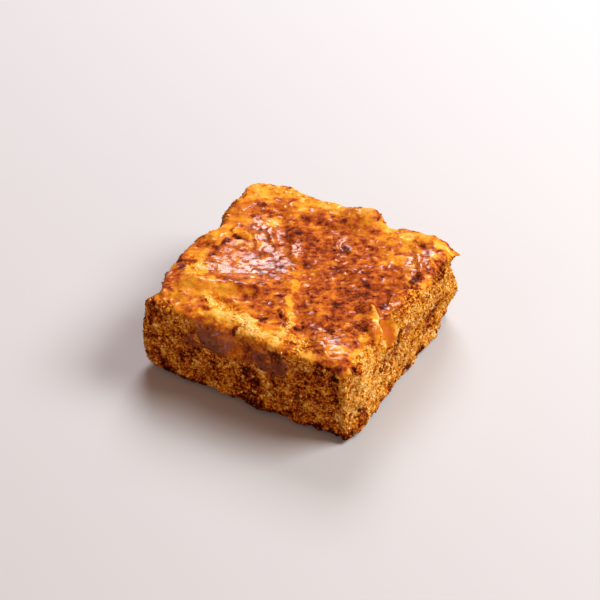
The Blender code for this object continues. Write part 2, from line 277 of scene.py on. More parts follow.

# Each map below is laid in its order, so that a later patch goes over an earlier one.

# How browned the cake is, with painted light in it: the sides other than the front painted paler, and the
# rounded front corner painted pale where light falls on it.
BROWNING_AND_SHADING = (
    # Darker middle.
    on_top(6, 5, 24, 17, Bake.CHESTNUT, hold=0.45),
    on_top(22, 1, 9, 8, Bake.UMBER, hold=0.3),
    # Back edge, from the left.
    on_top(-31, 29, 6, 5, Bake.GOLDEN),
    on_top(-33.5, 26, 1.6, 2.2, Bake.AMBER, hold=0.7),
    on_top(-21, 32, 6, 2.6, Bake.GOLDEN, hold=0.9),
    on_top(-16, 29, 1.5, 3.0, Bake.HONEY, 20, hold=0.8),
    on_top(-8, 32, 6, 2.6, Bake.HONEY, hold=0.9),
    on_top(-0.5, 30.5, 3.4, 3, Bake.COPPER),
    on_top(4.5, 32.5, 3, 2.2, Bake.GOLDEN),
    on_top(8, 34, 1.5, 1.5, Bake.UMBER, hold=0.8),
    on_top(12.5, 31.5, 3.6, 3, Bake.GOLDEN),
    on_top(20.5, 30.5, 3.4, 1.8, Bake.STRAW, hold=0.8),
    on_top(26, 31.5, 4, 2, Bake.GOLDEN, hold=0.8),
    on_top(31, 31, 3, 2, Bake.HONEY, hold=0.8),
    on_top(25, 35, 6, 1.0, Bake.UMBER, hold=0.8),
    on_top(35, 34.0, 3.4, 1.0, Bake.UMBER, -12, hold=0.85),
    on_top(32.5, 24, 1.6, 3, Bake.HONEY, 30, hold=0.8),
    on_top(33.2, 24, 1.0, 1.6, Bake.SCORCHED, hold=0.8),
    # Row behind the middle.
    on_top(-19.5, 25, 2.2, 3.2, Bake.RUSSET, 20, hold=0.9),
    on_top(-5, 25, 7, 2.8, Bake.CHESTNUT, hold=0.9),
    on_top(6, 26, 3, 2.4, Bake.COPPER, hold=0.8),
    on_top(14, 25, 4, 3, Bake.COPPER, hold=0.8),
    on_top(25, 25, 5, 3, Bake.COPPER, hold=0.6),
    on_top(-26.5, 18.5, 3.4, 3, Bake.CHESTNUT, hold=0.7),
    on_top(-17, 21.5, 3.4, 2.2, Bake.RUSSET, hold=0.9),
    on_top(-7, 15, 9, 4.6, Bake.CHESTNUT, 5),
    on_top(-9.5, 15.5, 5.4, 3.2, Bake.UMBER, 8, hold=0.8),
    on_top(-3, 17.4, 2.6, 1.6, Bake.COPPER, hold=0.8),
    on_top(0.5, 12.5, 6.5, 2.2, Bake.UMBER, 8, hold=0.7),
    on_top(3.5, 18.5, 2.4, 2.0, Bake.CHESTNUT, hold=0.8),
    on_top(11, 18.5, 4.5, 3.0, Bake.CHESTNUT, 15, hold=0.95),
    on_top(16.5, 20, 2.2, 1.6, Bake.COPPER, hold=0.8),
    on_top(21.5, 18.8, 3.6, 2.2, Bake.GOLDEN),
    on_top(33.0, 18.5, 1.5, 3.2, Bake.UMBER),
    # Middle row.
    on_top(-31, 15, 3.5, 6, Bake.COPPER, hold=0.8),
    on_top(-31, 3, 3.5, 6, Bake.GOLDEN, hold=0.7),
    on_top(-17.5, 10.5, 3.2, 2.0, Bake.CHESTNUT, -45, hold=0.8),
    on_top(-26, 7.2, 2.2, 1.0, Bake.GOLDEN, 10),
    on_top(-25, 4.8, 2.6, 0.9, Bake.UMBER, 15, hold=0.8),
    on_top(-28.2, 6.5, 0.9, 1.2, Bake.UMBER, hold=0.8),
    on_top(-4, 7.2, 3.2, 2.2, Bake.RUSSET, hold=0.9),
    on_top(7.5, 7.0, 3.0, 2.0, Bake.CHESTNUT, 20, hold=0.8),
    on_top(13.5, 10.5, 4.4, 2.4, Bake.CHESTNUT, 25, hold=0.9),
    on_top(20, 11.8, 2.6, 1.6, Bake.COPPER, 30, hold=0.9),
    on_top(25.7, 13, 4, 2.2, Bake.RUSSET, 30, hold=0.9),
    on_top(21.5, 5, 5.0, 3.2, Bake.UMBER, 35, hold=0.85),
    on_top(15.7, 3.7, 2.0, 1.6, Bake.COPPER, 30, hold=0.8),
    on_top(20.5, -1.2, 4.4, 2.4, Bake.UMBER, 35, hold=0.9),
    on_top(22.3, -5.6, 2.2, 1.2, Bake.SCORCHED, 50, hold=0.9),
    on_top(32.2, 13, 1.3, 2.6, Bake.SCORCHED, -20),
    on_top(31.0, 8.4, 1.4, 1.4, Bake.UMBER, hold=0.8),
    on_top(34.5, 4, 3.0, 6, Bake.GOLDEN),
    on_top(27.6, 2.6, 1.1, 2.2, Bake.UMBER, -15, hold=0.8),
    on_top(-27, 0.6, 1.4, 2.4, Bake.UMBER, -20, hold=0.7),
    on_top(-22.5, -1, 3.6, 4, Bake.RUSSET, hold=0.75),
    on_top(-3, 1, 2.4, 3, Bake.COPPER, hold=0.7),
    on_top(2.7, 3, 2.6, 2, Bake.AMBER, hold=0.8),
    on_top(10, 2.8, 2.6, 1.8, Bake.RUSSET, hold=0.9),
    on_top(5.6, -4.2, 2.4, 2.6, Bake.CHESTNUT, 15, hold=0.8),
    on_top(13.5, -3.4, 3.5, 2.4, Bake.RUSSET, 40, hold=0.9),
    on_top(27, -4, 2.4, 2.2, Bake.UMBER, hold=0.85),
    on_top(34, -4, 3, 4, Bake.GOLDEN, hold=0.8),
    # Row before the middle.
    on_top(-34.5, -7, 1.6, 4, Bake.RUSSET, hold=0.7),
    on_top(-31.5, -8, 3, 2.4, Bake.GOLDEN, hold=0.8),
    on_top(-28, -15, 3.6, 4.4, Bake.STRAW, -20, hold=0.9),
    on_top(-28.2, -6.4, 1.3, 1.0, Bake.UMBER, hold=0.9),
    on_top(-21, -10, 5.5, 4.0, Bake.RUSSET, hold=0.7),
    on_top(-7.5, -12, 1.8, 1.1, Bake.UMBER, -30, hold=0.9),
    on_top(-0.6, -12.8, 1.6, 0.8, Bake.SCORCHED, hold=0.8),
    on_top(0.8, -6.4, 1.4, 3.4, Bake.STRAW, 20, hold=0.9),
    on_top(6.9, -10, 2.8, 6.4, Bake.CHESTNUT, 12),
    on_top(12, -10.5, 2.4, 1.8, Bake.COPPER, hold=0.7),
    on_top(17.8, -11, 2.4, 3.4, Bake.UMBER, 20, hold=0.8),
    on_top(18.6, -14, 0.9, 3.0, Bake.SCORCHED, 20, hold=0.8),
    on_top(21.4, -20.6, 0.8, 2.6, Bake.SCORCHED, 25, hold=0.8),
    on_top(21, -14.5, 3.4, 3.4, Bake.RUSSET, hold=0.7),
    on_top(25.2, -10.8, 2.0, 1.8, Bake.GOLDEN, hold=0.7),
    on_top(26.5, -14.5, 2.6, 1.8, Bake.UMBER, hold=0.85),
    on_top(27.8, -7.5, 3.2, 0.8, Bake.CREAM, -48),
    # Fold, golden flat and russet field at the front left.
    on_top(-34, -22, 1.8, 6, Bake.RUSSET, hold=0.8),
    on_top(-28.5, -18, 3.2, 1.6, Bake.GOLDEN + 0.04, hold=0.7),
    on_top(-22.0, -22.5, 9.0, 5.0, Bake.AMBER - 0.01, 16),
    on_top(-30.6, -22.8, 1.7, 2.2, Bake.RUSSET, hold=0.75),
    on_top(-27.5, -27.0, 2.6, 1.4, Bake.GOLDEN, hold=0.8),
    on_top(-21, -26.2, 4.0, 0.7, Bake.COPPER, 20, hold=0.5),
    on_top(-18, -22.5, 4.0, 0.7, Bake.COPPER, 30, hold=0.5),
    on_top(-15.5, -19.2, 5, 1.4, Bake.GOLDEN + 0.02, 25, hold=0.8),
    on_top(-10, -17.5, 3.5, 1.8, Bake.COPPER, 25, hold=0.8),
    on_top(-5, -17.6, 5, 3.0, Bake.CHESTNUT, 10, hold=0.85),
    on_top(-20.5, -27.8, 2.6, 1.8, Bake.COPPER, hold=0.8),
    on_top(-17, -25.3, 1.4, 0.8, Bake.CHESTNUT, hold=0.6),
    on_top(-26.5, -29.8, 4, 1.8, Bake.AMBER, hold=0.8),
    on_top(-31.5, -30.5, 2.6, 2.4, Bake.COPPER, hold=0.9),
    # Yellow crack and the cracked band along the front.
    on_top(3.6, -14.6, 1.1, 4.6, Bake.HONEY, 28, hold=0.9),
    on_top(3.2, -22, 3.0, 2.4, Bake.RUSSET, 15, hold=0.9),
    on_top(8.0, -22.0, 1.3, 5.0, Bake.STRAW, 22),
    on_top(4.4, -21.0, 2.0, 0.6, Bake.SCORCHED, -10, hold=0.8),
    on_top(-14.5, -25.4, 4.8, 2.2, Bake.STRAW, -14),
    on_top(-4.5, -24.0, 3.0, 1.8, Bake.COPPER, hold=0.9),
    on_top(-2.6, -27.8, 2.6, 1.7, Bake.CREAM),
    on_top(-16, -31, 3.4, 1.7, Bake.GOLDEN, hold=0.8),
    on_top(-9, -28.6, 5.4, 2.6, Bake.STRAW, -8),
    on_top(0.5, -30.2, 6.6, 2.5, Bake.CREAM, -6),
    on_top(8.5, -29.4, 3.8, 4.0, Bake.STRAW),
    on_top(-13.5, -31.6, 4.4, 2.0, Bake.HONEY, hold=0.8),
    on_top(15.0, -28.2, 4.0, 2.2, Bake.HONEY),
    on_top(4.4, -27.0, 3.2, 1.5, Bake.COPPER),
    # Right front quarter.
    on_top(12.5, -17.5, 2.6, 2.6, Bake.RUSSET, hold=0.9),
    on_top(13.3, -20.2, 2.0, 1.1, Bake.UMBER, hold=0.8),
    on_top(18.5, -19, 2.4, 2.4, Bake.UMBER, hold=0.7),
    on_top(26.5, -19.0, 3.4, 2.0, Bake.CHESTNUT, hold=0.85),
    on_top(30.8, -18.4, 1.4, 2.4, Bake.HONEY, 30, hold=0.8),
    on_top(20.5, -27, 3.6, 2.4, Bake.COPPER, hold=0.8),
    on_top(27, -27.5, 3.2, 3.0, Bake.AMBER),
    on_top(26.0, -33.4, 3.0, 1.2, Bake.CHESTNUT, hold=0.9),
    on_top(31.4, -31.4, 2.2, 1.5, Bake.CHESTNUT, hold=0.9),
    on_top(33.5, -24.5, 2.6, 5.0, Bake.HONEY),
    on_top(18.5, -33, 4, 2.0, Bake.HONEY),
    on_top(11.3, -33.6, 2.2, 1.4, Bake.AMBER, hold=0.7),
    # The darker middle again, over all of it.
    on_top(12, 4, 21, 14, Bake.UMBER, hold=0.36),
    # Left front edge.
    on_top(-28.5, -34, 6.5, 1.6, Bake.COPPER, hold=0.7),
    on_top(-4, -32.6, 1.0, 0.6, Bake.UMBER, hold=0.6),
    # Front side.
    on_front(-32.5, 23.0, 2.6, 4.4, Bake.RUSSET, hold=0.8),
    on_front(-26.5, 20, 2.4, 4.5, Bake.GOLDEN, hold=0.8),
    on_front(-21.5, 22.6, 2.8, 2.8, Bake.HONEY, hold=0.85),
    on_front(-12, 7, 14, 4.5, Bake.COPPER, hold=0.6),
    on_front(18, 24.8, 4.5, 2.0, Bake.GOLDEN, hold=0.9),
    on_front(26, 13, 5.5, 7, Bake.AMBER, hold=0.6),
    on_front(-18.8, 16.2, 2.6, 1.9, Bake.UMBER, hold=0.8),
    on_front(-10, 20.5, 5.4, 5.8, Bake.CHESTNUT + 0.03, hold=0.9),
    on_front(-11, 18, 4.6, 3.2, Bake.UMBER + 0.02, hold=0.8),
    on_front(-10.5, 24, 3.2, 1.8, Bake.CHESTNUT - 0.04, hold=0.7),
    on_front(-5.8, 25.6, 3.6, 1.5, Bake.COPPER + 0.05, hold=0.9),
    on_front(-2.8, 22.8, 3.4, 2.6, Bake.COPPER + 0.06, hold=0.9),
    on_front(-3.5, 18.6, 3.4, 2.4, Bake.COPPER + 0.04, hold=0.8),
    on_front(2.6, 21.4, 2.8, 2.4, Bake.CHESTNUT, hold=0.8),
    on_front(4.6, 25.2, 3.0, 1.4, Bake.COPPER, hold=0.8),
    on_front(8.6, 18.8, 6.4, 3.2, Bake.CHESTNUT + 0.05, hold=0.95),
    on_front(9.5, 18.2, 4.4, 2.0, Bake.UMBER, hold=0.6),
    on_front(10.2, 23.4, 2.3, 1.5, Bake.SCORCHED, hold=0.85),
    on_front(19, 18.4, 3.0, 2.6, Bake.UMBER, hold=0.6),
    on_front(-0.6, 12.0, 1.7, 1.5, Bake.SCORCHED, hold=0.9),
    on_front(29.4, 14, 1.2, 1.8, Bake.SCORCHED, hold=0.8),
    on_front(29.5, 20, 2.0, 3.0, Bake.CHESTNUT, hold=0.7),
    on_front(11.5, 6.5, 2.6, 4.2, Bake.GOLDEN, hold=0.75),
    on_front(4, 1.0, 7.5, 3.2, Bake.SCORCHED, hold=0.85),
    on_front(26, 0.6, 6, 2.4, Bake.SCORCHED, hold=0.85),
    on_front(-18, 0.2, 12, 1.5, Bake.UMBER, hold=0.7),
    # Painted light: the rounded front corner painted pale, as the light that falls on its rounding.
    on_front(33, 15, 2.8, 11, Bake.STRAW + 0.03, hold=0.75),
    Patch((35.2, -34.5, 15), (1.8, 3.0, 11), Bake.CREAM + 0.04, hold=0.9),
    # Left-hand side and back, painted paler than the front as painted light, the crumb being one colour all
    # round.
    Patch((-36.0, 0.0, 13.0), (SIDE_DEPTH, 38.0, 13.0), Bake.GOLDEN, hold=0.5),
    Patch((0.0, 35.5, 13.0), (38.0, SIDE_DEPTH, 13.0), Bake.HONEY, hold=0.6),
    # Right-hand side: the whole face painted paler than the front as painted light, the crumb being one
    # colour all round; then its spots.
    on_right(0, 13, 38, 13, Bake.STRAW - 0.04, hold=0.7),
    on_right(-26, 18, 7, 8, Bake.CREAM + 0.04, hold=0.8),
    # Painted light: the rounded front corner painted pale, as the light that falls on its rounding.
    Patch((36.4, -31.5, 14), (2.6, 3.6, 9), Bake.CREAM, hold=0.9),
    on_right(-28.5, 6.0, 2.8, 4.2, Bake.CHESTNUT, hold=0.85),
    on_right(-20.5, 18.5, 1.4, 1.4, Bake.RUSSET, hold=0.7),
    on_right(-14.5, 15, 2.2, 1.4, Bake.CHESTNUT, hold=0.85),
    on_right(-8, 13.5, 2.6, 2.0, Bake.RUSSET, hold=0.8),
    on_right(-6, 16, 1.6, 1.6, Bake.RUSSET, hold=0.8),
    on_right(3, 10, 1.8, 2.4, Bake.RUSSET, hold=0.7),
    on_right(28, 18, 5, 9, Bake.HONEY - 0.02, hold=0.85),
    on_right(-23.5, 5, 1.6, 4, Bake.STRAW, hold=0.6),
    on_right(-4.4, 19, 0.9, 4.4, Bake.UMBER, hold=0.9),
    on_right(-0.4, 19, 2.0, 3, Bake.RUSSET, hold=0.8),
    on_right(9, 18, 4, 4.5, Bake.HONEY, hold=0.6),
    on_right(17, 10.5, 6.0, 3.8, Bake.CHESTNUT, hold=0.85),
    on_right(14, 13.5, 1.8, 1.6, Bake.UMBER, hold=0.8),
    on_right(21.5, 11.5, 2.4, 1.6, Bake.UMBER, hold=0.7),
    on_right(22, 24.5, 4, 2.2, Bake.CHESTNUT, hold=0.8),
    on_right(24, 18, 6, 4, Bake.HONEY, hold=0.6),
    on_right(10.5, 3.2, 1.8, 1.7, Bake.SCORCHED, hold=0.9),
    on_right(-10, 3.8, 1.3, 2, Bake.UMBER, hold=0.85),
    on_right(1.5, 3.2, 1.8, 1.6, Bake.UMBER, hold=0.8),
    on_right(18, 1.8, 2.6, 1.3, Bake.CREAM, hold=0.8),
    on_right(28.5, 4.3, 1.7, 1.4, Bake.CREAM, hold=0.8),
    # The slipped facet, its bright upper edge and the pale crumb round it.
    Patch((33.7, -9.4, 24.0), (2.4, 2.7, 3.6), Bake.COPPER + 0.04),
    Patch((34.3, -8.8, 22.8), (1.6, 1.6, 2.2), Bake.RUSSET + 0.02),
    Patch((32.6, -11.2, 26.2), (1.6, 1.2, 1.6), Bake.GOLDEN, hold=0.8),
    Patch((31.8, -11.4, 26.6), (2.8, 0.9, 2.2), Bake.CREAM, -38),
    Patch((34.6, -12.9, 22.4), (2.4, 1.0, 3.4), Bake.CREAM),
    Patch((35.2, -10.4, 17.0), (2.4, 1.2, 2.8), Bake.STRAW),
    # Crust that rolled over the front edge, and the darkest spots under it.
    Patch((-13.0, -34.6, 26.0), (5.5, 3.0, 2.5), Bake.CHESTNUT - 0.04, -4, hold=0.85),
    Patch((-5.5, -35.2, 25.4), (4.5, 3.0, 2.3), Bake.RUSSET, -4, hold=0.85),
    Patch(*ROLLED_CRUST_RIGHT, Bake.COPPER + 0.05, -4, hold=0.8),
    on_front(-9.3, 19.2, 2.4, 2.4, Bake.SCORCHED, hold=0.85),
    on_front(-3.8, 26.8, 1.4, 1.3, Bake.SCORCHED, hold=0.9),
    on_front(9.8, 24.0, 2.8, 1.6, Bake.SCORCHED - 0.05, hold=0.85),
)

# How far the cake is open crumb there.
OPEN_CRUMB = (
    # Bare spots, the cracks and the cracked band along the front.
    on_top(-28.5, -14.5, 3.8, 4.6, 0.45, -20),
    on_top(-14.5, -25, 5, 2.4, 0.7, 10),
    on_top(-1, -29.8, 9, 2.0, 0.8, -4),
    on_top(8.2, -23, 1.5, 5, 0.7, 22),
    on_top(15.5, -29, 5.5, 2.8, 0.9),
    # Worn edges and thin crust.
    on_top(34.5, -25, 2.6, 8, 0.9),
    on_top(34.6, 4.5, 3.2, 7, 0.95),
    on_top(34.6, -4.5, 3.2, 3.5, 0.9),
    on_top(20, -19, 4, 4, 0.35),
    on_top(28, -16, 3, 4, 0.4),
    on_top(-30, -34, 6, 2.0, 0.8),
    on_top(-22, 33, 12, 2.2, 0.4),
    on_top(-35, 12, 1.6, 14, 0.6),
    # Crust on the sides: the slipped facet, the lobes and the crust that rolled down to them.
    Patch(*SLIPPED_FACET, 0.0),
    on_front(-2, 21, 17, 8, 0.55, hold=0.7),
    on_front(-10, 20.5, 6.6, 6.6, 0.35, hold=0.6),
    on_front(-2, 22, 6.0, 5.0, 0.3, hold=0.7),
    on_front(8.6, 19.4, 8.0, 4.6, 0.4, hold=0.6),
    on_front(-18.8, 16.2, 3.4, 2.6, 0.35, hold=0.7),
    on_right(-0.4, 19, 1.8, 3.4, 0.3, hold=0.8),
    Patch(*ROLLED_CRUST_LEFT, 0.1, hold=0.9),
    Patch(*ROLLED_CRUST_RIGHT, 0.2, hold=0.9),
)

# How thick the glaze lies, none of it where it is 0.
GLAZE = (
    # The hollow behind the fold, and the crust round it.
    on_top(-13.5, -3, 8, 11, 1.0, -20),
    on_top(-23, 0, 4.5, 5, 0.45),
    on_top(-21, -9.5, 6, 4.5, 0.9, 10),
    on_top(-4, 14, 8, 5, 0.0),
    on_top(-19, 11, 7, 4.6, 0.95, -50),
    on_top(-7.5, 8.5, 4.2, 2.0, 0.9, -55),
    on_top(4, 17, 2.0, 4, 0.7, 30),
    on_top(12, -6, 9, 7, 0.0),
    # Back of the right rim, and the back edge.
    on_top(29, 19, 6, 3.8, 1.0, -45),
    on_top(30, 26, 3.2, 2.6, 0.7),
    on_top(3, 31, 6, 4, 0.7),
    # Golden flat, fold and front corner.
    on_top(-23, -24.8, 7, 3, 0.25, 15),
    on_top(-15, -18, 9, 3, 0.8, 28),
    on_top(24, -27, 6, 5, 0.45),
    on_top(21.5, -26.5, 1.3, 5.0, 0.95, 35),
    on_top(25.5, -26.0, 1.1, 3.6, 0.9, 35),
    # Right rim beside the middle.
    on_top(30, -1, 1.6, 3, 1.0),
    on_top(30.6, -8, 2, 4, 0.5, 20),
    on_top(32, 12.5, 2.4, 4, 0.25),
    # Sides.
    Patch(*SLIPPED_FACET, 0.0),
    on_front(-9.5, 22.0, 5.0, 4.0, 0.8),
    on_front(9.0, 20.6, 5.6, 3.0, 0.6),
    Patch(*ROLLED_CRUST_LEFT, 0.6),
)

# How far relief and mottling die away there.
CALM = (
    on_top(-23.0, -24.8, 7.4, 3.0, 0.15, 16),
    on_top(-15.5, -18.0, 9, 2.0, 0.35, 30),
    on_top(0, -29.6, 13, 2.4, 0.6),
    on_top(3, 31, 5, 3.5, 0.6),
    on_top(-31, 12, 3, 9, 0.4),
    on_top(21, 19.5, 3, 2.4, 0.6),
    on_top(27, -27, 4, 3, 0.5),
    Patch(*SLIPPED_FACET, 1.0),
    Patch((33.5, -12.4, 24.5), (2.6, 1.2, 4.0), 0.7),
    on_front(-2, 21, 17, 7, 0.25),
    on_right(-27, 18, 8, 8, 0.35),
)

# How far the surface takes a greyish brown: painted sheen on the lobes, greyish spots elsewhere.
DULL_AND_SHEEN = (
    # The lobes, with painted sheen, but not the crust that rolled down to them.
    on_front(-2, 20.5, 18, 6.5, 0.25, hold=0.8),
    on_front(-10.5, 20.5, 5.4, 5.4, 0.75, hold=0.8),
    on_front(-18.8, 16.2, 3.0, 2.4, 0.7, hold=0.7),
    on_front(9, 19.4, 6.4, 3.6, 0.6, hold=0.8),
    on_front(-2.4, 19.5, 2.0, 2.4, 0.0),
    Patch((-8.5, -34.8, 25.8), (10.0, 3.0, 2.0), 0.0),
    Patch(*ROLLED_CRUST_RIGHT, 0.0),
    # Greyish spots of the right-hand side.
    on_right(17, 10.5, 5.0, 3.0, 0.45),
    on_right(-0.4, 19, 1.8, 3.0, 0.5),
    on_right(-12, 15.5, 3.4, 1.6, 0.45),
    on_right(-5.5, 15.5, 1.8, 2.6, 0.4),
    on_right(2, 6, 1.8, 3.6, 0.4),
    on_right(-28.5, 9, 2.2, 3.0, 0.3),
)


@dataclass(frozen=True)
class Streak:
    """A raised or sunken line on the crust, such as a bead of glaze or the lip of a crack.

    Attributes:
        start: One end, in plan.
        end: The other end, in plan.
        half_width: Half of its width.
        rise: How far it stands up at its middle, below 0 for a groove.
    """

    start: Span
    end: Span
    half_width: float
    rise: float

    def height(self, points: np.ndarray) -> np.ndarray:
        """The rise that the streak gives each point.

        Args:
            points: Places on the cake, one a row.

        Returns:
            The rise of each point, in mm.
        """
        start, end = np.array(self.start), np.array(self.end)
        run = end - start
        part = np.clip((points[:, :2] - start) @ run / (run @ run), 0.0, 1.0)
        away = np.linalg.norm(points[:, :2] - (start + part[:, None] * run), axis=1)
        return self.rise * np.exp(-((away / self.half_width) ** 2))


@dataclass(frozen=True)
class Nudge:
    """A soft push of a small part of the outside, such as a dent in an edge.

    Attributes:
        at: Middle of the pushed part.
        reach: Its half sizes.
        move: How far its middle moves.
    """

    at: Triple
    reach: Triple
    move: Triple

    def shift(self, points: np.ndarray) -> np.ndarray:
        """The move that the nudge gives each point.

        Args:
            points: Places on the cake, one a row.

        Returns:
            The move of each point.
        """
        share = oval_closeness(points, self.at, self.reach)
        return share[:, None] * np.array(self.move)


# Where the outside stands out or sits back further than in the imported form.
NUDGES = (
    # Left edge, from the front.
    Nudge((-35, -33, 5), (4, 4, 7), (-1.3, -1.0, 0)),
    Nudge((-35.5, -28.5, 26), (2.4, 2.6, 4), (1.7, 0.8, -0.4)),
    Nudge((-36, -13, 26), (3, 6, 5), (-0.8, 0, 0.3)),
    Nudge((-36, 6.5, 25), (3, 5, 6), (1.3, 0, -0.8)),
    # Back edge, from the left.
    Nudge((-35, 30, 26), (4, 3.5, 6), (-0.9, 0.6, 0.9)),
    Nudge((-26, 33.5, 27), (4, 3, 6), (-0.2, 0.4, 0.6)),
    Nudge((-9, 34, 27), (5, 3, 6), (0, 0.4, 0.5)),
    Nudge((6, 34, 28), (2.4, 3, 6), (0.2, 0.6, 0.4)),
    Nudge((18, 34, 28), (8, 4, 6), (-0.2, -0.6, -0.5)),
    # Right-hand side, from the back.
    Nudge((37, 35, 25), (4, 3.5, 5), (-1.4, -1.4, -0.5)),
    Nudge((37, 34.6, 25.8), (1.8, 1.8, 0.8), (3.0, 0.4, -0.5)),
    Nudge((35.5, 33, 18), (3, 4, 4), (-0.8, -0.6, 0)),
    Nudge((35.5, 32, 1), (4, 6, 6), (-2.2, -1.1, 0)),
    Nudge((36, 9.5, 2), (3, 3, 3), (-0.7, 0, 0)),
    Nudge((35.5, 15, 0), (3, 5, 3), (0.8, 0, 0)),
    Nudge((34.5, 3, 0), (3, 3, 4), (0.8, 0, 0)),
    Nudge((35, -12, 0), (3, 3, 4), (0.6, 0, 0)),
    # Front corner and front side.
    Nudge((35.8, -32.4, 15), (2.0, 2.2, 11), (-0.8, 0.1, 0)),
    Nudge((33, -34.2, 14), (1.8, 1.6, 13), (0.2, -0.8, 0)),
    Nudge((34.5, -33.8, 0), (3, 3, 3.5), (0.9, -1.0, 0)),
    Nudge((36, -27, 12), (2.4, 3.4, 14), (0.8, 0, 0)),
    Nudge((17, -34, 0), (4, 3, 4), (0, -1.0, 0)),
    Nudge((5, -34.5, 0), (5, 3, 4), (0, -1.4, 0)),
    Nudge((-11, -34, 0), (5, 3, 4), (0, -0.4, 0)),
    Nudge((-23.5, -29.5, 27.5), (8, 3.4, 4), (0, 0, 0.3)),
    Nudge((-22, -19.5, 28), (7, 2.2, 4), (0, 0, -0.2)),
    Nudge((0, -31.4, 26.5), (11, 2.4, 2.6), (0, -0.6, 0.2)),
    Nudge((16, -31.4, 26.5), (5, 2.4, 2.6), (0, -0.4, 0.1)),
    Nudge((-9.5, -34.5, 21.5), (5.0, 5, 4.0), (0, -1.3, 0)),
    Nudge((9.0, -34.5, 19.5), (6.2, 5, 3.2), (0, -1.1, 0)),
    Nudge((-10, -34.5, 14.5), (6, 4, 2.4), (0, 0.7, 0)),
    Nudge((8, -34.5, 13.5), (8, 4, 2.2), (0, 0.7, 0)),
    Nudge((-25, -34.4, 25.4), (9, 1.5, 1.9), (0, -1.0, 0.1)),
    Nudge((10, -34.4, 25.4), (15, 1.5, 1.9), (0, -1.1, 0.1)),
    Nudge((7, -33.4, 26.2), (15, 1.6, 1.5), (0, -0.9, 0.6)),
    Nudge((-25, -33.6, 26.2), (9, 1.6, 1.5), (0, -0.5, 0.4)),
    Nudge((-25, -34, 0), (9, 3, 4), (0, -0.9, 0)),
    Nudge((28, -34, 0), (5, 3, 4), (0, -1.0, 0)),
    # The slipped facet.
    Nudge((33.6, -8.8, 26.4), (2.4, 2.8, 2.4), (-1.3, 0, -0.8)),
    Nudge((35, -8.8, 20.6), (2.4, 2.8, 2.4), (1.1, 0, 0)),
    Nudge((34.6, -13.2, 22), (2.4, 1.2, 4), (0.7, -0.2, 0)),
)

# Raised and sunken lines on the crust.
STREAKS = (
    # Beads of glaze and wrinkles.
    Streak((-20.5, 15), (-14, 7.5), 1.0, 0.55),
    Streak((-24, 12.5), (-18.5, 5), 1.0, 0.5),
    Streak((-9.5, 10.5), (-5, 4.5), 0.8, 0.45),
    Streak((2.5, 17.5), (6, 11.5), 0.8, 0.5),
    Streak((27, 23), (33, 14.5), 1.1, 0.6),
    Streak((25.5, -5), (33.5, -13), 0.9, 0.7),
    Streak((20, -24.5), (25, -31), 1.1, 0.5),
    Streak((28.6, 4), (30.2, -0.5), 0.7, 0.5),
    Streak((0, 32.5), (1.6, 27), 0.8, 0.4),
    # Flakes with a gap beside them.
    Streak((3, -19.4), (7, -21.6), 0.6, 0.4),
    Streak((2.6, -20.6), (6.2, -21.9), 0.5, -0.7),
    Streak((-28, 4.4), (-22.5, 4.9), 0.7, -0.7),
    Streak((-28, 6.9), (-23.5, 7.4), 0.8, 0.5),
    # The fold.
    Streak((-25, -21.5), (-8, -13.5), 1.5, 0.5),
    Streak((-16, -20.5), (-7, -16.8), 1.4, -0.3),
    # Cracks along the front, the long crack to the middle and the one over the slipped facet.
    Streak((-19, -32.5), (-12, -26.6), 0.8, -0.6),
    Streak((-12, -26.6), (-2, -28.6), 0.7, -0.5),
    Streak((-2, -28.6), (9, -30.6), 0.8, -0.6),
    Streak((9, -30.6), (12, -22), 0.7, -0.5),
    Streak((0.4, -5), (4.6, -17), 0.7, -0.35),
    Streak((4.6, -17), (9.4, -28), 0.7, -0.5),
    Streak((30.2, -7.4), (34, -11.4), 0.8, -0.6),
)


@dataclass(frozen=True)
class Borders:
    """How crust, crumb and glaze meet, and how torn their borders are.

    Attributes:
        bends: Broad bends of every border.
        tears: Fine tears of the borders of patches.
        fray: What makes the rims of patches ragged, broad and fine.
        crust_rim: What makes the rim of the crust on top wander.
        crust_slope: Upward parts of the normal between which the side turns to crust.
        crust_height: Heights between which it does.
        crust_cover: How much of the crumb on top the crust hides.
        drops: Lumps that drops of glaze gather on.
        drop_crowns: Heights of those lumps between which a drop starts and is full.
        drop_glaze: How thick the glaze of a full drop is.
        soaking_crumb: Shares of crumb between which the glaze soaks away.
        calm_fray: How much of the fraying the smooth patches have.
    """

    bends: tuple[Lumps, ...] = (
        Lumps(2.6, 0.9, Field.BEND_X),
        Lumps(2.6, 0.9, Field.BEND_Y),
        Lumps(2.6, 0.9, Field.BEND_Z),
    )
    tears: tuple[Lumps, ...] = (
        Lumps(0.9, 0.45, Field.TEAR_X),
        Lumps(0.9, 0.45, Field.TEAR_Y),
        Lumps(0.9, 0.45, Field.TEAR_Z),
    )
    fray: tuple[Lumps, ...] = (Lumps(3.1, 0.22, Field.FRAY_BROAD), Lumps(1.15, 0.30, Field.FRAY_FINE))
    crust_rim: Lumps = Lumps(2.0, 0.12, Field.CRUST_RIM)
    crust_slope: Span = (0.25, 0.6)
    crust_height: Span = (17.0, 21.0)
    crust_cover: float = 0.9
    drops: Lumps = Lumps(1.6, 1.0, Field.DROPS)
    drop_crowns: Span = (0.45, 0.85)
    drop_glaze: float = 0.9
    soaking_crumb: Span = (0.3, 0.8)
    calm_fray: float = 0.5


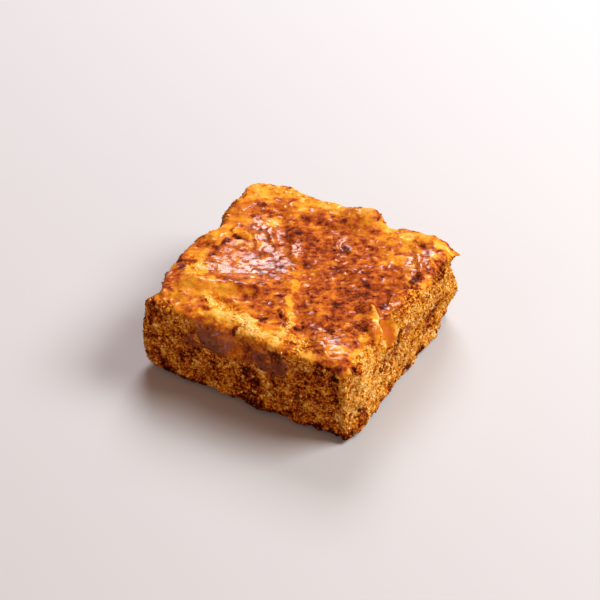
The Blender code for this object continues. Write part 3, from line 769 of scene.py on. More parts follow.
@dataclass(frozen=True)
class Skin:
    """What the outside of the cake is like at each vertex.

    Attributes:
        bent: Its places, moved about so that borders bend.
        torn: Its places, moved about more finely so that borders tear.
        fray: How far each place leans to be in a patch whose rim runs near it.
        top: How far it is the crust on top.
        drops: How far a drop of glaze has gathered there.
        crumb: How far it is open crumb.
        glaze: How thick its glaze is.
        calm: How far its relief and its mottling die away.
        dull_and_sheen: How far it takes a greyish brown, painted sheen on the lobes.
    """

    bent: np.ndarray
    torn: np.ndarray
    fray: np.ndarray
    top: np.ndarray
    drops: np.ndarray
    crumb: np.ndarray
    glaze: np.ndarray
    calm: np.ndarray
    dull_and_sheen: np.ndarray

    @classmethod
    def over(cls, points: np.ndarray, normals: np.ndarray, borders: Borders) -> "Skin":
        """Works out where the outside is crust, crumb and glaze.

        Args:
            points: Places of the vertices.
            normals: Their normals.
            borders: How these meet.

        Returns:
            The skin.
        """
        bent = points + np.stack([bend.at(points) for bend in borders.bends], axis=1)
        torn = bent + np.stack([tear.at(points) for tear in borders.tears], axis=1)
        fray = sum(lumps.at(points) for lumps in borders.fray)
        top = smooth_step(*borders.crust_slope, normals[:, 2] + borders.crust_rim.at(points))
        top *= smooth_step(*borders.crust_height, points[:, 2])
        crumb = laid_over(1.0 - borders.crust_cover * top, OPEN_CRUMB, torn, fray)
        drops = smooth_step(*borders.drop_crowns, borders.drops.at(points)) * top
        glaze = laid_over(borders.drop_glaze * drops, GLAZE, torn, fray)
        glaze *= 1.0 - smooth_step(*borders.soaking_crumb, crumb)
        calm = laid_over(np.zeros(len(points)), CALM, torn, borders.calm_fray * fray)
        # Greyish brown: painted sheen on the lobes, greyish spots on the right-hand side.
        dull_and_sheen = laid_over(np.zeros(len(points)), DULL_AND_SHEEN, torn, fray)
        return cls(bent, torn, fray, top, drops, crumb, glaze, calm, dull_and_sheen)


@dataclass(frozen=True)
class Relief:
    """The small relief that baking gives the surface.

    Attributes:
        swells: Broad swellings.
        blisters: Blisters.
        wrinkles: Wrinkles of the crust.
        strokes: Strokes that the glazing brush left.
        stroke_direction: Their direction in plan, in degrees.
        stroke_length: How many times longer than wide they are.
        drop_height: Height of the drops of glaze.
        crags: Crags of the open crumb.
        crag_crown: How far a crag's crown stands over its middle height, of its height.
        grain_size: Distance from grain to grain of the crumb.
        grain_height: Height of the grains.
        grain_middle: The height of a grain that leaves the surface where it is, of its height.
        pits: Lumps that the pits of the crumb sink into.
        pit_rims: Heights of those lumps between which a pit starts and is full.
        pit_depth: Depth of the pits.
        calmed_crust: How much of the crust's relief dies away where it is calm.
        calmed_crumb: How much of the crumb's does.
        filled_swells: How much of the broad relief the glaze levels.
        filled_wrinkles: How much of the fine relief it does.
        pit_shade: How much painted shade a full pit takes.
        gap_shade: How much painted shade a full gap between grains takes.
    """

    swells: Lumps = Lumps(8.5, 0.36, Field.SWELLS)
    blisters: Lumps = Lumps(4.2, 0.24, Field.BLISTERS)
    wrinkles: Lumps = Lumps(1.5, 0.17, Field.WRINKLES)
    strokes: Lumps = Lumps(1.2, 0.10, Field.STROKES)
    stroke_direction: float = 38.0
    stroke_length: float = 3.0
    drop_height: float = 0.2
    crags: Lumps = Lumps(3.4, 0.50, Field.CRAGS)
    crag_crown: float = 0.35
    grain_size: float = 0.95
    grain_height: float = 0.36
    grain_middle: float = 0.6
    pits: Lumps = Lumps(1.9, 1.0, Field.PITS)
    pit_rims: Span = (0.35, 0.85)
    pit_depth: float = 0.7
    calmed_crust: float = 0.8
    calmed_crumb: float = 0.6
    filled_swells: float = 0.35
    filled_wrinkles: float = 0.45
    pit_shade: float = 0.8
    gap_shade: float = 0.5

    def over(self, points: np.ndarray, skin: Skin) -> tuple[np.ndarray, np.ndarray]:
        """How far each vertex moves out along its normal.

        Args:
            points: Places of the vertices.
            skin: What the outside is like there.

        Returns:
            The rise in mm, and how much painted shade each place of the crumb takes, 0 to 1.
        """
        grains = beads(points, self.grain_size, Field.GRAINS)
        pits = smooth_step(*self.pit_rims, self.pits.at(points))
        rise = self._soft(points, skin) + (1.0 - skin.crumb) * self._crust(points, skin)
        rise += skin.crumb * self._crumb(points, skin, grains, pits)
        rise += sum(streak.height(skin.bent) for streak in STREAKS) * skin.top
        # Painted shade: pits and the gaps between grains are painted darker.
        shade = self.pit_shade * pits + self.gap_shade * (self.grain_middle - grains)
        return rise, skin.crumb * np.clip(shade, 0.0, 1.0)

    def _soft(self, points: np.ndarray, skin: Skin) -> np.ndarray:
        """The broad relief that crust and crumb share."""
        return (self.swells.at(points) + self.blisters.at(points)) * (1.0 - self.filled_swells * skin.glaze)

    def _crust(self, points: np.ndarray, skin: Skin) -> np.ndarray:
        """The fine relief of the crust.

        Args:
            points: Places of the vertices.
            skin: What the outside is like there.

        Returns:
            Its height at each vertex.
        """
        along = stretched(points, self.stroke_direction, self.stroke_length)
        fine = self.wrinkles.at(points) + self.strokes.at(along) * skin.top
        fine *= (1.0 - self.calmed_crust * skin.calm) * (1.0 - self.filled_wrinkles * skin.glaze)
        return fine + self.drop_height * skin.drops

    def _crumb(self, points: np.ndarray, skin: Skin, grains: np.ndarray, pits: np.ndarray) -> np.ndarray:
        """The fine relief of the open crumb.

        Args:
            points: Places of the vertices.
            skin: What the outside is like there.
            grains: Height of the grains there, 0 to 1.
            pits: Depth of the pits there, 0 to 1.

        Returns:
            Its height at each vertex.
        """
        crags = self.crags.strength * self.crag_crown - np.abs(self.crags.at(points))
        fine = crags + self.grain_height * (grains - self.grain_middle) - self.pit_depth * pits
        return fine * (1.0 - self.calmed_crumb * skin.calm)


@dataclass(frozen=True)
class Oven:
    """How the oven browns the cake, place by place, and paints shade into its crumb.

    Attributes:
        side: Browning of the sides; later patches paint all sides but the front paler, as painted light.
        side_lumps: What makes it uneven.
        crust: Browning of the crust on top.
        crust_lumps: What makes it uneven.
        scorch: How much more browned the bottom edge is.
        scorch_height: How far up that reaches.
        scorch_rim: What makes its upper rim uneven.
        hollow: How much darker the pits and gaps of the crumb are painted, as painted shade.
        crumb: How much darker open crumb is painted, as painted shade between the grains on it.
        fine_lumps: Fine unevenness all over, laid on last.
        top_lumps: Unevenness of the crust on top, laid on last.
        dry_stages: Stages of browning between which the glaze dries up.
        dried: How much of the glaze has dried up at the second of them.
    """

    side: float = Bake.AMBER + 0.01
    side_lumps: tuple[Lumps, ...] = (
        Lumps(5.5, 0.18, Field.SIDE_BROAD),
        Lumps(2.9, 0.25, Field.SIDE_FINE),
    )
    crust: float = Bake.AMBER + 0.18
    crust_lumps: tuple[Lumps, ...] = (
        Lumps(6.0, 0.16, Field.CRUST_BROAD),
        Lumps(2.6, 0.19, Field.CRUST_FINE),
    )
    scorch: float = 0.38
    scorch_height: float = 3.0
    scorch_rim: Lumps = Lumps(3.0, 0.8, Field.SCORCH_RIM)
    hollow: float = 0.32
    crumb: float = 0.12
    fine_lumps: Lumps = Lumps(1.3, 0.08, Field.LAST_FINE)
    top_lumps: Lumps = Lumps(2.4, 0.11, Field.LAST_TOP)
    dry_stages: Span = (0.68, 0.92)
    dried: float = 0.85

    def browning_and_shading(self, points: np.ndarray, skin: Skin, hollow: np.ndarray) -> np.ndarray:
        """How browned each vertex is, painted shade of the crumb included.

        Args:
            points: Places of the vertices before sculpting.
            skin: What the outside is like there.
            hollow: How much painted shade each place takes in the pits and gaps of the crumb.

        Returns:
            The stage of browning, about 0 to 1.
        """
        side = self.side + sum(lumps.at(points) for lumps in self.side_lumps)
        crust = self.crust + sum(lumps.at(points) for lumps in self.crust_lumps)
        stage = side + (crust - side) * skin.top
        height = points[:, 2] + self.scorch_rim.at(points)
        stage += self.scorch * (1.0 - smooth_step(0.0, self.scorch_height, height))
        stage = laid_over(stage, BROWNING_AND_SHADING, skin.torn, skin.fray)
        # Painted shade: the pits and gaps of the crumb, and the open crumb under the grains, are darkened.
        stage += self.hollow * hollow + self.crumb * skin.crumb
        last = self.fine_lumps.at(points) + skin.top * self.top_lumps.at(points)
        return stage + last * (1.0 - skin.calm)

    def glaze_left(self, browning_and_shading: np.ndarray) -> np.ndarray:
        """The share of the glaze that is left at each stage of browning."""
        return 1.0 - self.dried * smooth_step(*self.dry_stages, browning_and_shading)


@dataclass(frozen=True)
class FineNoise:
    """Fractal noise that is finer than the mesh.

    Attributes:
        scale: Lumps to a millimetre.
        detail: Octaves of finer lumps.
        roughness: Strength of each finer octave.
    """

    scale: float
    detail: float
    roughness: float


class NodeBench:
    """Lays out the nodes of one material."""

    def __init__(self, tree: bpy.types.NodeTree) -> None:
        """Keeps the tree to work on."""
        self.tree = tree

    def _add(self, kind: str) -> bpy.types.Node:
        """Adds a node of that kind."""
        return self.tree.nodes.new(kind)

    def feed(self, socket: Socket, value: Operand) -> None:
        """Links a socket to the value, or sets the value on it where that is a number.

        Args:
            socket: The socket that takes the value.
            value: Another socket or a number.
        """
        if isinstance(value, Socket):
            self.tree.links.new(value, socket)
        else:
            socket.default_value = value

    def math(self, operation: str, first: Operand, second: Operand = 0.0) -> Socket:
        """One step of arithmetic.

        Args:
            operation: The kind of step, as Blender names it.
            first: First operand.
            second: Second operand.

        Returns:
            The result.
        """
        node = self._add("ShaderNodeMath")
        node.operation = operation
        self.feed(node.inputs[0], first)
        self.feed(node.inputs[1], second)
        return node.outputs[0]

    def sum(self, first: Operand, second: Operand) -> Socket:
        """The two values added."""
        return self.math("ADD", first, second)

    def product(self, first: Socket, second: Operand) -> Socket:
        """The two values multiplied."""
        return self.math("MULTIPLY", first, second)

    def rest(self, value: Socket, factor: float) -> Socket:
        """What the value times the factor leaves of 1."""
        return self.math("SUBTRACT", 1.0, self.product(value, factor))

    def swing(self, *parts: tuple[Socket, float]) -> Socket:
        """Even noises blended so that their sum swings round nothing.

        Args:
            parts: Pairs of a noise of 0 to 1 and how much it counts.

        Returns:
            Every noise less a half, times its weight, added up.
        """
        total = None
        for noise_value, weight in parts:
            swung = self.product(self.math("SUBTRACT", noise_value, NOISE_MIDDLE), weight)
            total = swung if total is None else self.sum(total, swung)
        return total

    def clamped(self, value: Socket) -> Socket:
        """The value kept between 0 and 1.

        Args:
            value: Any value.

        Returns:
            The value, or the nearer of 0 and 1.
        """
        node = self._add("ShaderNodeClamp")
        self.feed(node.inputs["Value"], value)
        return node.outputs[0]

    def mix(self, share: Socket, first: Operand, second: Operand) -> Socket:
        """A blend of two values.

        Args:
            share: How much of the second value, 0 to 1.
            first: The value at a share of 0.
            second: The value at a share of 1.

        Returns:
            The blended value.
        """
        node = self._add("ShaderNodeMix")
        node.data_type = "FLOAT"
        self.feed(node.inputs[MIX_SHARE], share)
        self.feed(node.inputs[MIX_NUMBERS[0]], first)
        self.feed(node.inputs[MIX_NUMBERS[1]], second)
        return node.outputs[0]

    def mix_colour(self, share: Socket, first: Socket, second: Colour) -> Socket:
        """A blend of a colour and a plain one.

        Args:
            share: How much of the plain colour, 0 to 1.
            first: The colour at a share of 0.
            second: The plain colour.

        Returns:
            The blended colour.
        """
        node = self._add("ShaderNodeMix")
        node.data_type = "RGBA"
        self.feed(node.inputs[MIX_SHARE], share)
        self.feed(node.inputs[MIX_COLOURS[0]], first)
        node.inputs[MIX_COLOURS[1]].default_value = (*second, 1.0)
        return node.outputs[MIX_COLOUR_OUT]

    def map_of(self, name: str) -> Socket:
        """The value of a map that is painted on the mesh.

        Args:
            name: One of the maps.

        Returns:
            Its value.
        """
        node = self._add("ShaderNodeAttribute")
        node.attribute_name = name
        return node.outputs["Fac"]

    def place_in_mm(self) -> Socket:
        """The place on the object.

        Returns:
            The place in the object's own frame, in millimetres.
        """
        node = self._add("ShaderNodeMapping")
        node.inputs["Scale"].default_value = (MM_PER_METRE, MM_PER_METRE, MM_PER_METRE)
        self.feed(node.inputs["Vector"], self._add("ShaderNodeTexCoord").outputs["Object"])
        return node.outputs[0]

    def squeezed(self, place: Socket, degrees: float, along: float, across: float) -> Socket:
        """The place turned in plan and scaled, so that noise on it comes out as streaks.

        Args:
            place: The place to start from.
            degrees: Direction of the streaks in plan.
            along: Scale along the streaks.
            across: Scale across them.

        Returns:
            The new place.
        """
        turn = self._add("ShaderNodeMapping")
        turn.inputs["Rotation"].default_value = (0.0, 0.0, -radians(degrees))
        self.feed(turn.inputs["Vector"], place)
        scale = self._add("ShaderNodeMapping")
        scale.inputs["Scale"].default_value = (along, across, across)
        self.feed(scale.inputs["Vector"], turn.outputs[0])
        return scale.outputs[0]

    def noise(self, place: Socket, kind: FineNoise) -> Socket:
        """Fractal noise.

        Args:
            place: Where to read it.
            kind: How coarse and how rough it is.

        Returns:
            A value of about 0 to 1.
        """
        node = self._add("ShaderNodeTexNoise")
        self.feed(node.inputs["Vector"], place)
        node.inputs["Scale"].default_value = kind.scale
        node.inputs["Detail"].default_value = kind.detail
        node.inputs["Roughness"].default_value = kind.roughness
        return node.outputs["Fac"]

    def cells(self, place: Socket, scale: float) -> tuple[Socket, Socket]:
        """Packed cells, as the grains of crumb make.

        Args:
            place: Where to read them.
            scale: Cells to a unit of the place.

        Returns:
            The distance from the middle of the nearest cell, and a value of 0 to 1 that each cell has
            for itself.
        """
        node = self._add("ShaderNodeTexVoronoi")
        self.feed(node.inputs["Vector"], place)
        node.inputs["Scale"].default_value = scale
        apart = self._add("ShaderNodeSeparateColor")
        self.feed(apart.inputs[0], node.outputs["Color"])
        return node.outputs["Distance"], apart.outputs[0]

    def ramp(self, value: Socket, stops: tuple[tuple[float, Colour], ...]) -> Socket:
        """Colours along a value.

        Args:
            value: What picks the colour.
            stops: Pairs of a value and its colour.

        Returns:
            The colour.
        """
        node = self._add("ShaderNodeValToRGB")
        elements = node.color_ramp.elements
        while len(elements) < len(stops):
            elements.new(1.0)
        for element, (stage, colour) in zip(elements, stops):
            element.position = stage
            element.color = (*colour, 1.0)
        self.feed(node.inputs[0], value)
        return node.outputs["Color"]

    def bump(self, height: Socket, distance_m: float) -> Socket:
        """A normal tilted by a height.

        Args:
            height: The height, 0 to 1.
            distance_m: How high its full swing is.

        Returns:
            The normal.
        """
        node = self._add("ShaderNodeBump")
        node.inputs["Strength"].default_value = 1.0
        node.inputs["Distance"].default_value = distance_m
        self.feed(node.inputs["Height"], height)
        return node.outputs[0]


@dataclass(frozen=True)
class Grounds:
    """What a finish is built from at each place: the painted maps and the fine noises.

    Attributes:
        maps: The painted maps by name.
        mottle: Soft noise.
        speckle: Finer noise.
        strokes: Noise drawn out along the strokes of the brush.
        gap: How near the gap between two grains of crumb is.
        shade: A value of 0 to 1 that each grain has for itself.
        lively: How much unevenness a place keeps, less where it is calm.
    """

    maps: dict[str, Socket]
    mottle: Socket
    speckle: Socket
    strokes: Socket
    gap: Socket
    shade: Socket
    lively: Socket


@dataclass(frozen=True)
class BakedFinish:
    """Finish of everything baked: colour from the browning, gloss from the egg glaze.

    Attributes:
        name: Name of the material.
        ramp: Colour at each stage of browning, as (stage, colour).
        dull_and_sheen_colour: Greyish brown, painted sheen on the lobes and greyish spots elsewhere.
        mottle: The soft noise.
        speckle: The finer noise.
        strokes: The noise along the strokes of the brush, before it is drawn out.
        stroke_direction: Direction of the strokes in plan, in degrees.
        stroke_scales: Their scales along and across.
        grain_scale: Grains of crumb to a millimetre.
        crust_mottle: How much the soft noise changes the browning of crust.
        crust_strokes: How much the strokes do.
        crust_speckle: How much the finer noise does.
        unevenness: How fast all this grows as the crust browns.
        crumb_mottle: How much the soft noise changes the browning of crumb.
        crumb_speckle: How much the finer noise does.
        crumb_gap_shade: How much darker the gaps between grains are painted, as painted shade.
        crumb_shades: How much the grains differ.
        calming: How much of all this a calm place loses.
        crust_roughness: Roughness of bare crust.
        glazed_roughness: Roughness of crust under its glaze.
        crumb_roughness: Roughness of open crumb.
        roughness_mottle: How much the soft noise changes the roughness.
        glaze_roughness: Roughness of the glaze.
        glaze_ior: Index of refraction of the glaze.
        glaze_full: Thickness that a full glaze has before the soft noise breaks it up.
        glaze_breaks: How much the soft noise takes off it.
        specular: How much the cake shines beside its glaze.
        crust_mottle_height: How much the soft noise lifts the crust, of the bump.
        crust_speckle_height: How much the finer noise does.
        crumb_gap_height: How far the gaps between grains sink, of the bump.
        bump_mm: Height of the bump.
    """

    name: str = "baked_cake"
    ramp: tuple[tuple[float, Colour], ...] = (
        (0.00, (0.95, 0.65, 0.26)),
        (0.14, (0.85, 0.475, 0.11)),
        (0.28, (0.75, 0.338, 0.028)),
        (0.42, (0.645, 0.222, 0.01)),
        (0.57, (0.48, 0.114, 0.008)),
        (0.71, (0.325, 0.053, 0.005)),
        (0.86, (0.155, 0.019, 0.002)),
        (1.00, (0.045, 0.007, 0.002)),
    )
    dull_and_sheen_colour: Colour = (0.215, 0.064, 0.027)
    mottle: FineNoise = FineNoise(0.5, 2.4, 0.55)
    speckle: FineNoise = FineNoise(1.6, 2.0, 0.55)
    strokes: FineNoise = FineNoise(1.0, 2.0, 0.55)
    stroke_direction: float = 35.0
    stroke_scales: Span = (0.2, 1.1)
    grain_scale: float = 1.15
    crust_mottle: float = 0.75
    crust_strokes: float = 0.6
    crust_speckle: float = 0.4
    unevenness: float = 1.75
    crumb_mottle: float = 1.1
    crumb_speckle: float = 1.3
    crumb_gap_shade: float = 0.55
    crumb_shades: float = 0.24
    calming: float = 0.85
    crust_roughness: float = 0.6
    glazed_roughness: float = 0.24
    crumb_roughness: float = 0.85
    roughness_mottle: float = 0.4
    glaze_roughness: float = 0.17
    glaze_ior: float = 1.5
    glaze_full: float = 1.25
    glaze_breaks: float = 0.8
    specular: float = 0.05
    crust_mottle_height: float = 0.4
    crust_speckle_height: float = 0.45
    crumb_gap_height: float = -0.9
    bump_mm: float = 0.45

    def material(self) -> bpy.types.Material:
        """Builds the material.

        Returns:
            The material, which reads the maps painted on each piece.
        """
        made = bpy.data.materials.new(self.name)
        made.use_nodes = True
        bench = NodeBench(made.node_tree)
        grounds = self._grounds(bench)
        sockets = made.node_tree.nodes["Principled BSDF"].inputs
        bench.feed(sockets["Base Color"], self._colour(bench, grounds))
        bench.feed(sockets["Roughness"], self._roughness(bench, grounds))
        bench.feed(sockets["Coat Weight"], self._glaze(bench, grounds))
        bench.feed(sockets["Normal"], self._normal(bench, grounds))
        sockets["Coat Roughness"].default_value = self.glaze_roughness
        sockets["Coat IOR"].default_value = self.glaze_ior
        sockets["Specular IOR Level"].default_value = self.specular
        return made

    def _grounds(self, bench: NodeBench) -> Grounds:
        """Reads the painted maps and lays out the fine noises.

        Args:
            bench: Where the nodes go.

        Returns:
            What the finish is built from.
        """
        maps = {name: bench.map_of(name) for name in MAPS}
        place = bench.place_in_mm()
        drawn_out = bench.squeezed(place, self.stroke_direction, *self.stroke_scales)
        gap, shade = bench.cells(place, self.grain_scale)
        return Grounds(
            maps=maps,
            mottle=bench.noise(place, self.mottle),
            speckle=bench.noise(place, self.speckle),
            strokes=bench.noise(drawn_out, self.strokes),
            gap=gap,
            shade=shade,
            lively=bench.rest(maps["calm"], self.calming),
        )

    def _colour(self, bench: NodeBench, grounds: Grounds) -> Socket:
        """Colour from the browning and its fine unevenness.

        Args:
            bench: Where the nodes go.
            grounds: What the finish is built from.

        Returns:
            The colour.
        """
        browning_and_shading = grounds.maps["browning_and_shading"]
        growth = bench.product(bench.product(browning_and_shading, browning_and_shading), self.unevenness)
        on_crust = bench.swing(
            (grounds.mottle, self.crust_mottle),
            (grounds.strokes, self.crust_strokes),
            (grounds.speckle, self.crust_speckle),
        )
        # On crumb the gaps between grains are painted darker, as painted shade in the creases.
        on_crumb = bench.swing(
            (grounds.mottle, self.crumb_mottle),
            (grounds.speckle, self.crumb_speckle),
            (grounds.gap, self.crumb_gap_shade),
            (grounds.shade, self.crumb_shades),
        )
        uneven = bench.mix(grounds.maps["crumb"], bench.product(on_crust, growth), on_crumb)
        stage = bench.sum(browning_and_shading, bench.product(grounds.lively, uneven))
        # The greyish brown mixed in here is painted sheen on the lobes.
        return bench.mix_colour(grounds.maps["dull_and_sheen"], bench.ramp(stage, self.ramp), self.dull_and_sheen_colour)

    def _roughness(self, bench: NodeBench, grounds: Grounds) -> Socket:
        """Roughness under the glaze.

        Args:
            bench: Where the nodes go.
            grounds: What the finish is built from.

        Returns:
            The roughness.
        """
        crust = bench.mix(grounds.maps["glaze"], self.crust_roughness, self.glazed_roughness)
        rough = bench.mix(grounds.maps["crumb"], crust, self.crumb_roughness)
        return bench.sum(rough, bench.swing((grounds.mottle, self.roughness_mottle)))

    def _glaze(self, bench: NodeBench, grounds: Grounds) -> Socket:
        """How much of the glaze lies over the crust.

        Args:
            bench: Where the nodes go.
            grounds: What the finish is built from.

        Returns:
            The weight of the glaze.
        """
        broken = bench.sum(self.glaze_full, bench.product(grounds.mottle, -self.glaze_breaks))
        return bench.product(grounds.maps["glaze"], bench.clamped(broken))

    def _normal(self, bench: NodeBench, grounds: Grounds) -> Socket:
        """Relief that is finer than the mesh.

        Args:
            bench: Where the nodes go.
            grounds: What the finish is built from.

        Returns:
            The normal.
        """
        on_crust = bench.sum(
            bench.product(grounds.mottle, self.crust_mottle_height),
            bench.product(grounds.speckle, self.crust_speckle_height),
        )
        on_crumb = bench.sum(grounds.speckle, bench.product(grounds.gap, self.crumb_gap_height))
        height = bench.product(grounds.lively, bench.mix(grounds.maps["crumb"], on_crust, on_crumb))
        return bench.bump(height, self.bump_mm * METRES_PER_MM)


@dataclass
class CakeBody:
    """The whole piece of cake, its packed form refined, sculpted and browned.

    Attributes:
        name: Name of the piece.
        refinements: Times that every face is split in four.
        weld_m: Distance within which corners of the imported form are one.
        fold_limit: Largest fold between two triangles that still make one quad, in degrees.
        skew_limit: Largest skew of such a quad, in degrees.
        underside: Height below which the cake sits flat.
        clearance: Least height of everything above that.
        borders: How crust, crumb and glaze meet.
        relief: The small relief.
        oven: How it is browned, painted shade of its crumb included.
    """

    name: str = "cake_body"
    refinements: int = 2
    weld_m: float = 1e-6
    fold_limit: float = 60.0
    skew_limit: float = 70.0
    underside: float = 0.25
    clearance: float = 0.05
    borders: Borders = field(default_factory=Borders)
    relief: Relief = field(default_factory=Relief)
    oven: Oven = field(default_factory=Oven)

    def build(self, finish: bpy.types.Material) -> bpy.types.Object:
        """Makes the piece.

        Args:
            finish: The baked material.

        Returns:
            The finished piece.
        """
        piece = self._refined_copy()
        mesh = piece.data
        points = read_vectors(mesh.vertices, "co") * MM_PER_METRE
        normals = read_vectors(mesh.vertices, "normal")
        skin = Skin.over(points, normals, self.borders)
        rise, hollow = self.relief.over(points, skin)
        moved = points + normals * rise[:, None] + sum(nudge.shift(points) for nudge in NUDGES)
        lifted = np.maximum(moved[:, 2], self.clearance)
        moved[:, 2] = np.where(points[:, 2] < self.underside, points[:, 2], lifted)
        mesh.vertices.foreach_set("co", (moved * METRES_PER_MM).ravel())
        self._paint(mesh, points, skin, hollow)
        mesh.materials.clear()
        mesh.materials.append(finish)
        mesh.shade_smooth()
        mesh.update()
        return piece

    def _refined_copy(self) -> bpy.types.Object:
        """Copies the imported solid, joins its triangles to quads and refines it.

        Returns:
            The refined copy, linked to the scene.
        """
        form = bmesh.new()
        form.from_mesh(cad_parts[NODE].data)
        bmesh.ops.remove_doubles(form, verts=form.verts, dist=self.weld_m)
        bmesh.ops.join_triangles(
            form,
            faces=form.faces,
            angle_face_threshold=radians(self.fold_limit),
            angle_shape_threshold=radians(self.skew_limit),
        )
        coarse = bpy.data.meshes.new(self.name + "_coarse")
        form.to_mesh(coarse)
        form.free()
        holder = bpy.data.objects.new(self.name + "_coarse", coarse)
        bpy.context.scene.collection.objects.link(holder)
        fine = holder.modifiers.new("fine", "SUBSURF")
        fine.levels = self.refinements
        fine.render_levels = self.refinements
        graph = bpy.context.evaluated_depsgraph_get()
        mesh = bpy.data.meshes.new_from_object(holder.evaluated_get(graph))
        bpy.data.objects.remove(holder)
        return linked(self.name, mesh)

    def _paint(self, mesh: bpy.types.Mesh, points: np.ndarray, skin: Skin, hollow: np.ndarray) -> None:
        """Works out the browning and writes every map on the mesh.

        Args:
            mesh: The refined mesh.
            points: Places of its vertices before sculpting.
            skin: What the outside is like there.
            hollow: How much painted shade each place takes in the pits and gaps of the crumb.
        """
        browning_and_shading = self.oven.browning_and_shading(points, skin, hollow)
        write_map(mesh, "browning_and_shading", np.clip(browning_and_shading, 0.0, 1.0))
        write_map(mesh, "crumb", skin.crumb)
        write_map(mesh, "glaze", skin.glaze * self.oven.glaze_left(browning_and_shading))
        write_map(mesh, "calm", skin.calm)
        write_map(mesh, "dull_and_sheen", skin.dull_and_sheen)


def laid_over(
    base: np.ndarray, patches: tuple[Patch, ...], points: np.ndarray, fray: np.ndarray
) -> np.ndarray:
    """Lays patches over a map, one after another.

    Args:
        base: The map to start from.
        patches: The patches, the last on top.
        points: Where the map is read.
        fray: How far each place leans to be in a patch whose rim runs near it.

    Returns:
        The new map.
    """
    value = base.copy()
    for patch in patches:
        near = patch.closeness(points)
        frayed = near + fray * np.minimum(1.0, near / FULL_FRAY)
        share = smooth_step(PATCH_STARTS, PATCH_FULL, frayed)
        value += (float(patch.value) - value) * patch.hold * share
    return value


def read_vectors(items: bpy.types.bpy_prop_collection, name: str) -> np.ndarray:
    """Reads one vector of every item.

    Args:
        items: Vertices or other items of a mesh.
        name: Which of their vectors.

    Returns:
        The vectors, one a row.
    """
    flat = np.zeros(len(items) * 3)
    items.foreach_get(name, flat)
    return flat.reshape(-1, 3)


def read_map(mesh: bpy.types.Mesh, name: str) -> np.ndarray:
    """Reads a map.

    Args:
        mesh: The mesh that it is painted on.
        name: One of the maps.

    Returns:
        Its number at each vertex.
    """
    values = np.zeros(len(mesh.vertices), np.float32)
    mesh.attributes[name].data.foreach_get("value", values)
    return values.astype(float)


def write_map(mesh: bpy.types.Mesh, name: str, values: np.ndarray) -> None:
    """Writes one number for each vertex."""
    layer = mesh.attributes.new(name, "FLOAT", "POINT")
    layer.data.foreach_set("value", values.astype(np.float32))


def linked(name: str, data: bpy.types.ID) -> bpy.types.Object:
    """Makes an object and links it to the scene.

    Args:
        name: Its name.
        data: Its mesh, lamp or camera.

    Returns:
        The object.
    """
    made = bpy.data.objects.new(name, data)
    bpy.context.scene.collection.objects.link(made)
    return made


